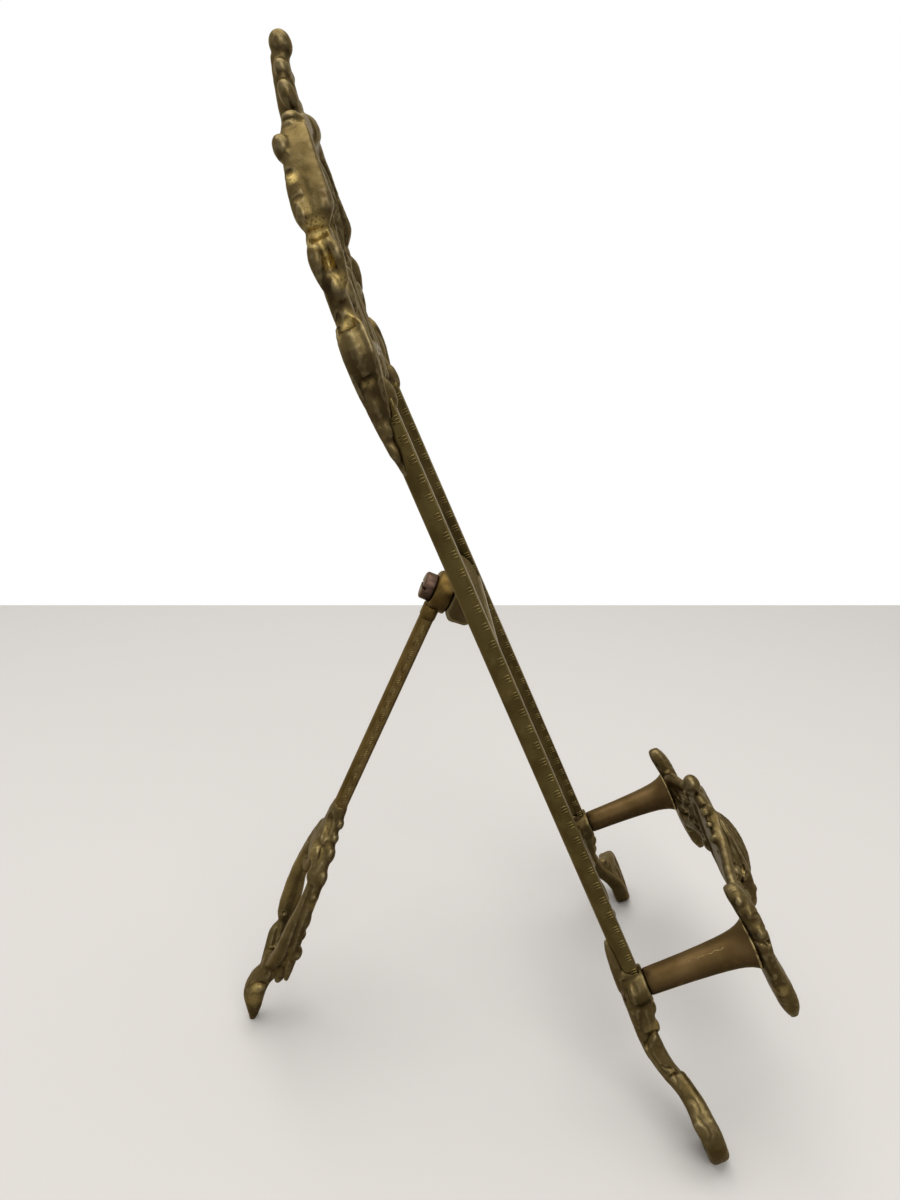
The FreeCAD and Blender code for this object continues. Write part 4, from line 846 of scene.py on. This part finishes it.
def rail_profile():
    """Half-round bar: flat front with rounded corners, straight sides and a round back."""
    half, flat, depth, corner = RAIL_HALF, 2.8, 6.0, 0.45
    turns = [math.radians(90 * k / 4) for k in range(5)]
    points = [(half - corner + corner * math.sin(a), -corner + corner * math.cos(a)) for a in turns]
    points += [(half, -flat * k / 3) for k in range(1, 4)]
    sag = depth - flat
    radius = (half ** 2 + sag ** 2) / (2 * sag)
    for k in range(1, 14):
        angle = math.asin(half / radius) * (1 - 2 * k / 14)
        points.append((radius * math.sin(angle), -flat - sag + radius - radius * math.cos(angle)))
    return np.array(points + [(-x, y) for x, y in reversed(points[:8])])


def rail(side, name):
    """Bar with groups of three ribs on its sides."""
    fitting = Fitting()
    profile, count = rail_profile(), 90
    heights = [RAIL_START + RAIL_LENGTH * k / count for k in range(count + 1)]
    path = [(side * rail_across(up) + 0.05 * noise.noise(Vector((up / 17, side, 0))), up) for up in heights]
    last = len(profile) - 1
    corner = [0.9 if 0 < k < 4 or 0 < last - k < 4 else 0.0 for k in range(last + 1)]
    fitting.add(*skin(drawn_bar(profile, path)), capped(np.tile(corner, len(path))))
    for face in (-1, 1):
        up = RAIL_START + 1.2
        while up < RAIL_TOP - 0.5:
            for k in (-1, 0, 1):
                here = up + k + 0.06 * noise.noise(Vector((up, k, face)))
                place = (side * rail_across(here), here, -1.55)
                fitting.rib(place, face, RAIL_HALF, (2.4, 0.62, 0.36), 0, 0.6)
            up += 6.0
    return fitting.made(name + "_bar", FRAME_PLANE, "frame", name)


def arm(side, name):
    """Turned post that flares to the gallery, with the solder there."""
    fitting = Fitting()
    profile = np.array([
        (1, 3.9), (1.05, 4.25), (1.5, 4.55), (8, 4.68), (16, 4.9), (23, 5.25), (28, 5.6), (31.5, 5.98),
        (34, 6.45), (36, 7.05), (37.4, 7.7), (38.2, 8.25), (GALLERY_OUT, 8.6)])
    rows = [before + (after - before) * t for before, after in zip(profile, profile[1:]) for t in (0, 0.5)]
    rows.append(profile[-1])
    solder = [0.9 if out > 37.9 else 0.0 for out, radius in rows]
    fitting.lathe(rows, side * ARM_ACROSS, ARM_UP, edge=capped(np.repeat(solder, 72)))
    if side < 0:
        # painted highlight: a thin bright strip along the upper side, where the light streaks along the
        # post
        rings = []
        for out in 16.5 + 0.5 * np.arange(27):
            angle = math.radians(120 + 7 * noise.noise(Vector((out / 1.7, 0, 0))))
            wide = 0.05 + 0.22 * abs(noise.noise(Vector((out / 0.8, 5, 0))))
            away = np.array((math.cos(angle), math.sin(angle), 0))
            along = np.array((-math.sin(angle), math.cos(angle), 0))
            centre = np.array((side * ARM_ACROSS, ARM_UP, out)) + np.interp(out, *profile.T) * away
            rings.append([centre + wide * along, centre + 0.03 * away,
                          centre - wide * along, centre - 0.1 * away])
        fitting.add(*skin(rings), edge=1.0)
    return fitting.made(name + "_post", FRAME_PLANE, "frame", name)


def slotted(obj, size, plane, *centres):
    """Driver slots cut across the screws' heads."""
    for centre in centres:
        bpy.ops.mesh.primitive_cube_add(size=1.0)
        cutter = bpy.context.active_object
        sized = Matrix.Diagonal((*(Vector(size) * MM), 1.0))
        cutter.matrix_world = plane @ Matrix.Translation(Vector(centre) * MM) @ sized
        cut = obj.modifiers.new("slot", "BOOLEAN")
        cut.operation, cut.object, cut.solver = "DIFFERENCE", cutter, "EXACT"
        graph = bpy.context.evaluated_depsgraph_get()
        mesh = bpy.data.meshes.new_from_object(obj.evaluated_get(graph))
        obj.modifiers.remove(cut)
        obj.data = mesh
        bpy.data.objects.remove(cutter)
    return obj


def pivot_screw():
    fitting = Fitting()
    fitting.lathe([(-7, 2.4), (6.4, 2.5), (6.4, 4.6), (6.55, 4.82), (6.8, 4.9), (9.7, 4.86), (10.1, 4.72),
                   (10.4, 4.3), (10.5, 3.6), (10.52, 1.5)], 0, 0)
    screw = fitting.made("pivot_screw_body", LEG_PLANE, "frame", "pivot_screw")
    return slotted(screw, (12, 1.1, 2.4), LEG_PLANE, (0, 0, 10.4))


def arm_screws():
    fitting = Fitting()
    centres = [side * ARM_ACROSS for side in (-1, 1)]
    for across in centres:
        fitting.lathe([(-8.3, 1.2), (-8.3, 3.3), (-8.2, 3.75), (-8, 3.85), (-6.1, 2), (4, 1.9)],
                      across, ARM_UP, 48)
    screws = fitting.made("arm_screw_bodies", FRAME_PLANE, "frame", "arm_screws")
    return slotted(screws, (12, 1.0, 2.4), FRAME_PLANE, *((across, ARM_UP, -8.5) for across in centres))


def cross_bar():
    """Gadrooned moulding between the rails, over a plain edge."""
    fitting = Fitting()
    bottom, top, rim, steps, pitch = 188.6, 202.6, 191.0, 560, 1.35
    width = rail_across(bottom) - 3.0
    profile = [(bottom, -6, 0), (bottom, -0.6, 0), (bottom + 0.3, -0.3, 0),
               (rim - 0.3, -0.3, 0), (rim, -0.45, 0)]
    for k in range(19):
        angle = math.radians(90 * k / 18)
        fluted = math.sin(math.pi * min(1, max(0, (k - 0.3) / 17.4))) ** 0.35 if 0 < k < 18 else 0.0
        up, out = rim + 0.4 + (top - rim - 0.4) * math.sin(angle), -0.9 - 4.6 * (1 - math.cos(angle))
        profile.append((up, out, fluted))
    profile.append((top, -6, 0))
    rings, edges, hollows = [], [], []
    for step in range(steps + 1):
        across = -width + 2 * width * step / steps
        ring = []
        for index, (up, out, fluted) in enumerate(profile):
            lean_in = (up - bottom) * 0.55
            wave = math.cos(2 * math.pi * (across + lean_in * 0.5) / pitch)
            push = fluted * (0.32 * wave - 0.14)
            angle = math.radians(min(90, max(0, 90 * (index - 5) / 18)))
            ring.append((across, up + push * math.sin(angle), out + push * math.cos(angle)))
            edges.append(1.0 if index in (1, 2, 3) else 0.95 * fluted * max(0, wave))
            hollows.append(fluted * max(0, -wave))
        rings.append(ring)
    fitting.add(*skin(rings), capped(edges), capped(hollows))
    return fitting.made("cross_bar_moulding", FRAME_PLANE, "frame", "cross_bar")


def lug():
    """Wedge behind the cross bar whose face is square to the pivot screw."""
    f = Casting()
    corners = [(-6.0, 0.0), (5.2, 0.0), (7.4, -2.2)]
    for up, out in ((189.3, -10.2), (189.0, -4.8), (201.6, -4.8)):
        place = LEG_PLANE.inverted() @ (FRAME_PLANE @ (Vector((0, up, out)) * MM)) / MM
        corners.append((place.y, place.z))
    f.add(*skin([[(a, y, z) for y, z in corners] for a in (-6.25, 6.25)]))
    r = f.skin(voxel=0.45, fillet=0.0, smooth=6)
    r.softened(6)
    r.waves(0.1, pitch=3, seed=21)
    return r.placed("leg_lug", LEG_PLANE, "frame")


def rear_strut():
    """Milled strip under a round head, with ovals and slanted ribs on its sides."""
    fitting = Fitting()
    fitting.lathe([(0.1, 3.2), (0.1, 6.7), (0.25, 7.05), (0.6, 7.2), (5.2, 7.2), (5.9, 6.75), (6.3, 6.2),
                   (6.3, 3.2)], 0, 0)
    half, low, high = 3.7, 1.7, 7.0
    middle = (low + high) / 2
    shares = [k / 4 - 1 for k in range(9)]
    profile = np.array([(half * s * 0.96, high - 1.35 * s ** 2) for s in shares]
                       + [(half, high - 1.9), (half, low + 1.5)]
                       + [(half * s * 0.96, low + 0.85 * s ** 2) for s in shares[::-1]]
                       + [(-half, low + 1.5), (-half, high - 1.9)])
    corner = [0.54 if index in (0, 8, 9, 10, 11, 19, 20, 21) else 0.0 for index in range(len(profile))]
    path = [(0.03 * noise.noise(Vector((k / 5, 3, 0))), 4 + 90 * k / 60) for k in range(61)]
    fitting.add(*skin(drawn_bar(profile, path)), capped(np.tile(corner, len(path))))
    # collar under the head
    rings = [np.column_stack([profile[:, 0] * size, np.full(len(profile), down),
                              (profile[:, 1] - middle) * size + middle])
             for down, size in ((5.4, 0.95), (5.8, 1.1), (10.0, 1.1), (10.5, 1.0))]
    fitting.add(*skin(rings), 0.15)
    oval = [(k * 3 + i, k * 3 + (i + 1) % 3, (k + 1) % 16 * 3 + (i + 1) % 3, (k + 1) % 16 * 3 + i)
            for k in range(16) for i in range(3)]
    down = 14.5
    while down < 90:
        for face in (-1, 1):
            verts = []
            for angle in circle(16):
                point = np.array((down + 1.75 * math.cos(angle), middle + 0.95 * math.sin(angle)))
                away = point - (down, middle)
                away /= np.linalg.norm(away)
                verts += [(face * (half + rise), *(point + way * away))
                          for rise, way in ((-0.05, 0.2), (0.2, 0), (-0.05, -0.2))]
            fitting.add(np.array(verts), oval, 0.8)
            for k in (-1, 0, 1):
                place = (0, down + 0.85 * k, middle)
                fitting.rib(place, face, half, (1.15 if k else 1.4, 0.4, 0.2), 0.3, 0.8)
        down += 5.2
    return fitting.made("rear_strut_bar", LEG_PLANE, "leg", "rear_strut")


# Finishes

class Nodes:
    """Short names for the nodes of one tree."""

    def __init__(self, tree):
        self.tree = tree

    def give(self, value, socket):
        if isinstance(value, (int, float)):
            socket.default_value = value
        else:
            self.tree.links.new(value, socket)

    def new(self, kind, **settings):
        node = self.tree.nodes.new("ShaderNode" + kind)
        for label, value in settings.items():
            setattr(node, label, value)
        return node

    def math(self, operation, a, b, clamp=False):
        node = self.new("Math", operation=operation, use_clamp=clamp)
        self.give(a, node.inputs[0])
        self.give(b, node.inputs[1])
        return node.outputs[0]

    def add(self, a, b):
        return self.math("ADD", a, b)

    def product(self, total, *factors):
        for factor in factors:
            total = self.math("MULTIPLY", total, factor)
        return total

    def mixed(self, share, a, b):
        node = self.new("Mix", data_type="RGBA")
        for value, socket in ((share, "Factor"), (a, 6), (b, 7)):
            self.give(value, node.inputs[socket])
        return node.outputs[2]

    def grain(self, where, scale, detail):
        node = self.new("TexNoise")
        for label, value in (("Scale", scale), ("Detail", detail), ("Vector", where)):
            self.give(value, node.inputs[label])
        return node.outputs[0]

    def stepped(self, value, low, high):
        node = self.new("MapRange", interpolation_type="SMOOTHSTEP")
        for label, given in (("Value", value), ("From Min", low), ("From Max", high)):
            self.give(given, node.inputs[label])
        return node.outputs["Result"]

    def mask(self, name):
        return self.new("Attribute", attribute_name=name).outputs["Fac"]


def aged_metal_group():
    """Skin of old brass: brown film, brassy hollows, grime, rubbed edges, and painted shade."""
    group = bpy.data.node_groups.new("aged_metal", "ShaderNodeTree")
    # The darkest colour serves both the grime in hollows and the painted shade; Under amount scales the
    # painted shade.
    for label, value in (
            ("Film", (0.098, 0.071, 0.029, 1)), ("Film tint", (0.068, 0.047, 0.017, 1)),
            ("Bare", (0.47, 0.34, 0.115, 1)), ("Grime and shade", (0.02, 0.012, 0.006, 1)),
            ("Rubbed", (0.21, 0.165, 0.085, 1)), ("Bare amount", 0.2), ("Hollow grime amount", 0.6),
            ("Rub amount", 0.5), ("Under amount", 0.80), ("Dull", 0.26)):
        kind = "NodeSocketFloat" if isinstance(value, float) else "NodeSocketColor"
        group.interface.new_socket(label, in_out="INPUT", socket_type=kind).default_value = value
    given = group.nodes.new("NodeGroupInput").outputs
    made = group.nodes.new("NodeGroupOutput")
    n = Nodes(group)
    where = n.new("TexCoord").outputs["Object"]
    cloud, blotch, speck = (n.grain(where, *size) for size in ((110, 5), (320, 6), (1500, 4)))
    deep = n.product(n.mask("hollow"), n.add(0.4, blotch))
    bare = n.product(n.stepped(deep, 0.25, 0.75), n.stepped(blotch, 0.42, 0.62), given["Bare amount"])
    shine = n.product(n.mask("bright"), n.stepped(speck, 0.26, 0.50), 0.9)
    # painted shade: where the under mask marks faces turned from the light, back faces and darkened spots,
    # the dark colour is mixed in
    shade = n.product(n.mask("under"), given["Under amount"], n.stepped(blotch, 0.2, 0.5))
    grime = n.product(n.stepped(deep, 0.12, 0.9), n.stepped(speck, 0.38, 0.68), given["Hollow grime amount"])
    rub = n.product(n.stepped(n.mask("edge"), 0.25, 1.0), n.stepped(blotch, 0.3, 0.6), given["Rub amount"])
    colour = n.mixed(n.stepped(cloud, 0.35, 0.65), given["Film"], given["Film tint"])
    for share, layer in ((shade, "Grime and shade"), (bare, "Bare"), (grime, "Grime and shade"), (shine, "Bare"),
                         (rub, "Rubbed")):
        colour = n.mixed(share, colour, given[layer])
    rough = n.add(n.add(n.product(blotch, 0.26), given["Dull"]), n.product(grime, 0.3))
    rough = n.math("SUBTRACT", rough, n.product(rub, 0.12), clamp=True)
    metal = n.math("SUBTRACT", 1.0, n.product(grime, 0.25))
    height = n.add(n.product(blotch, 0.6), n.product(speck, 0.4))
    for label, value in (("Color", colour), ("Roughness", rough), ("Metallic", metal), ("Height", height)):
        kind = "NodeSocketColor" if label == "Color" else "NodeSocketFloat"
        group.interface.new_socket(label, in_out="OUTPUT", socket_type=kind)
        group.links.new(value, made.inputs[label])
    return group


def material_of(name, **inputs):
    """New material and its shader, with the shader's own inputs set."""
    material = bpy.data.materials.new(name)
    material.use_nodes = True
    shader = material.node_tree.nodes["Principled BSDF"]
    for label, value in inputs.items():
        shader.inputs[label.replace("_", " ")].default_value = value
    return material, shader


GROUP = aged_metal_group()


def finish(name, bump, **values):
    """Material of the shared aged metal with its own colours."""
    material, shader = material_of(name, Specular_IOR_Level=0.25, Specular_Tint=(0.80, 0.71, 0.56, 1))
    n = Nodes(material.node_tree)
    metal = n.new("Group", node_tree=GROUP)
    for label, value in values.items():
        metal.inputs[label.replace("_", " ")].default_value = value
    relief = n.new("Bump")
    relief.inputs["Strength"].default_value = bump
    relief.inputs["Distance"].default_value = 0.0003
    for label, socket in (("Color", shader.inputs["Base Color"]), ("Roughness", shader.inputs["Roughness"]),
                          ("Metallic", shader.inputs["Metallic"]), ("Height", relief.inputs["Height"])):
        n.give(metal.outputs[label], socket)
    n.give(relief.outputs["Normal"], shader.inputs["Normal"])
    return material


CAST = finish("cast_brass_aged", 0.35)
MILLED = finish("milled_brass_aged", 0.12, Film=(0.108, 0.079, 0.026, 1), Rub_amount=0.7,
                Film_tint=(0.074, 0.053, 0.016, 1), Rubbed=(0.165, 0.125, 0.050, 1))
AMBER = finish("amber_brass_aged", 0.12, Film=(0.105, 0.066, 0.020, 1), Rub_amount=0.8,
               Film_tint=(0.070, 0.042, 0.011, 1), Rubbed=(0.26, 0.19, 0.075, 1))
# the turned posts take the painted shade at full strength
TURNED = finish("turned_brass_aged", 0.06, Film=(0.092, 0.057, 0.023, 1), Rub_amount=0.85,
                Film_tint=(0.067, 0.041, 0.015, 1), Rubbed=(0.42, 0.33, 0.15, 1),
                Under_amount=1.0, Dull=0.34)
STEEL = finish("browned_steel", 0.2, Film=(0.088, 0.054, 0.038, 1), Rub_amount=0.7,
               Film_tint=(0.058, 0.036, 0.026, 1), Rubbed=(0.16, 0.11, 0.08, 1))


def dressed(slot, material, *parts):
    for obj in parts:
        obj.data.materials.clear()
        obj.data.materials.append(material)


dressed("cast_brass", CAST, crest(), gallery(), foot(-1, "left_foot"), foot(1, "right_foot"), apron(),
        rear_foot())
dressed("milled_brass", MILLED, rail(-1, "left_rail"), rail(1, "right_rail"))
dressed("milled_brass", AMBER, rear_strut())
dressed("cast_brass", CAST, cross_bar(), lug())
dressed("turned_brass", TURNED, arm(-1, "left_arm"), arm(1, "right_arm"))
dressed("browned_steel", STEEL, pivot_screw(), arm_screws())


# Table, light and camera

def shown(name, data):
    obj = bpy.data.objects.new(name, data)
    bpy.context.scene.collection.objects.link(obj)
    return obj


def aimed(obj, place, way):
    obj.location = place
    obj.rotation_euler = Vector(way).to_track_quat("-Z", "Y").to_euler()


mesh = bpy.data.meshes.new("table_top")
mesh.from_pydata([(-2.6, -3, 0), (0.391, -3, 0), (0.664, 3, 0), (-2.6, 3, 0)], [], [(0, 1, 2, 3)])
table_top = shown("table_top", mesh)
pale, _ = material_of("pale_table", Base_Color=(0.575, 0.55, 0.52, 1), Roughness=0.6,
                      Specular_IOR_Level=0.2)
table_top.data.materials.append(pale)

# white to the eye and in reflections, half as strong as a light
world = bpy.data.worlds.new("studio")
bpy.context.scene.world = world
world.use_nodes = True
n = Nodes(world.node_tree)
background = world.node_tree.nodes["Background"]
background.inputs["Color"].default_value = (1, 1, 1, 1)
path = n.new("LightPath").outputs
seen = n.math("MAXIMUM", path["Is Camera Ray"], path["Is Glossy Ray"])
seen = n.math("MAXIMUM", seen, path["Is Transmission Ray"])
n.give(n.add(0.5, n.product(seen, 0.5)), background.inputs["Strength"])

for name, place, aim, size, power in (
        ("softbox_over", (0.1, 0.15, 1.3), (0, 0.05, 0.1), (1.2, 1.2), 14),
        ("softbox_side", (-0.9, -0.25, 0.9), (0, 0.05, 0.1), (0.7, 0.8), 6)):
    lamp = bpy.data.lights.new(name, "AREA")
    lamp.shape = "RECTANGLE"
    lamp.size, lamp.size_y = size
    lamp.energy = power
    aimed(shown(name, lamp), place, Vector(aim) - Vector(place))

LENS = 25.98
EYE = (-0.28758, 0.03187, 0.27248)
HEADING = -0.0454
DIP = 0.3164
lens = bpy.data.cameras.new("camera")
lens.lens = LENS
lens.sensor_width = 36.0
lens.clip_start = 0.01
camera = shown("camera", lens)
aimed(camera, EYE, (math.cos(DIP) * math.cos(HEADING), math.cos(DIP) * math.sin(HEADING), -math.sin(DIP)))
bpy.context.scene.camera = camera
bpy.context.scene.view_settings.view_transform = "Standard"
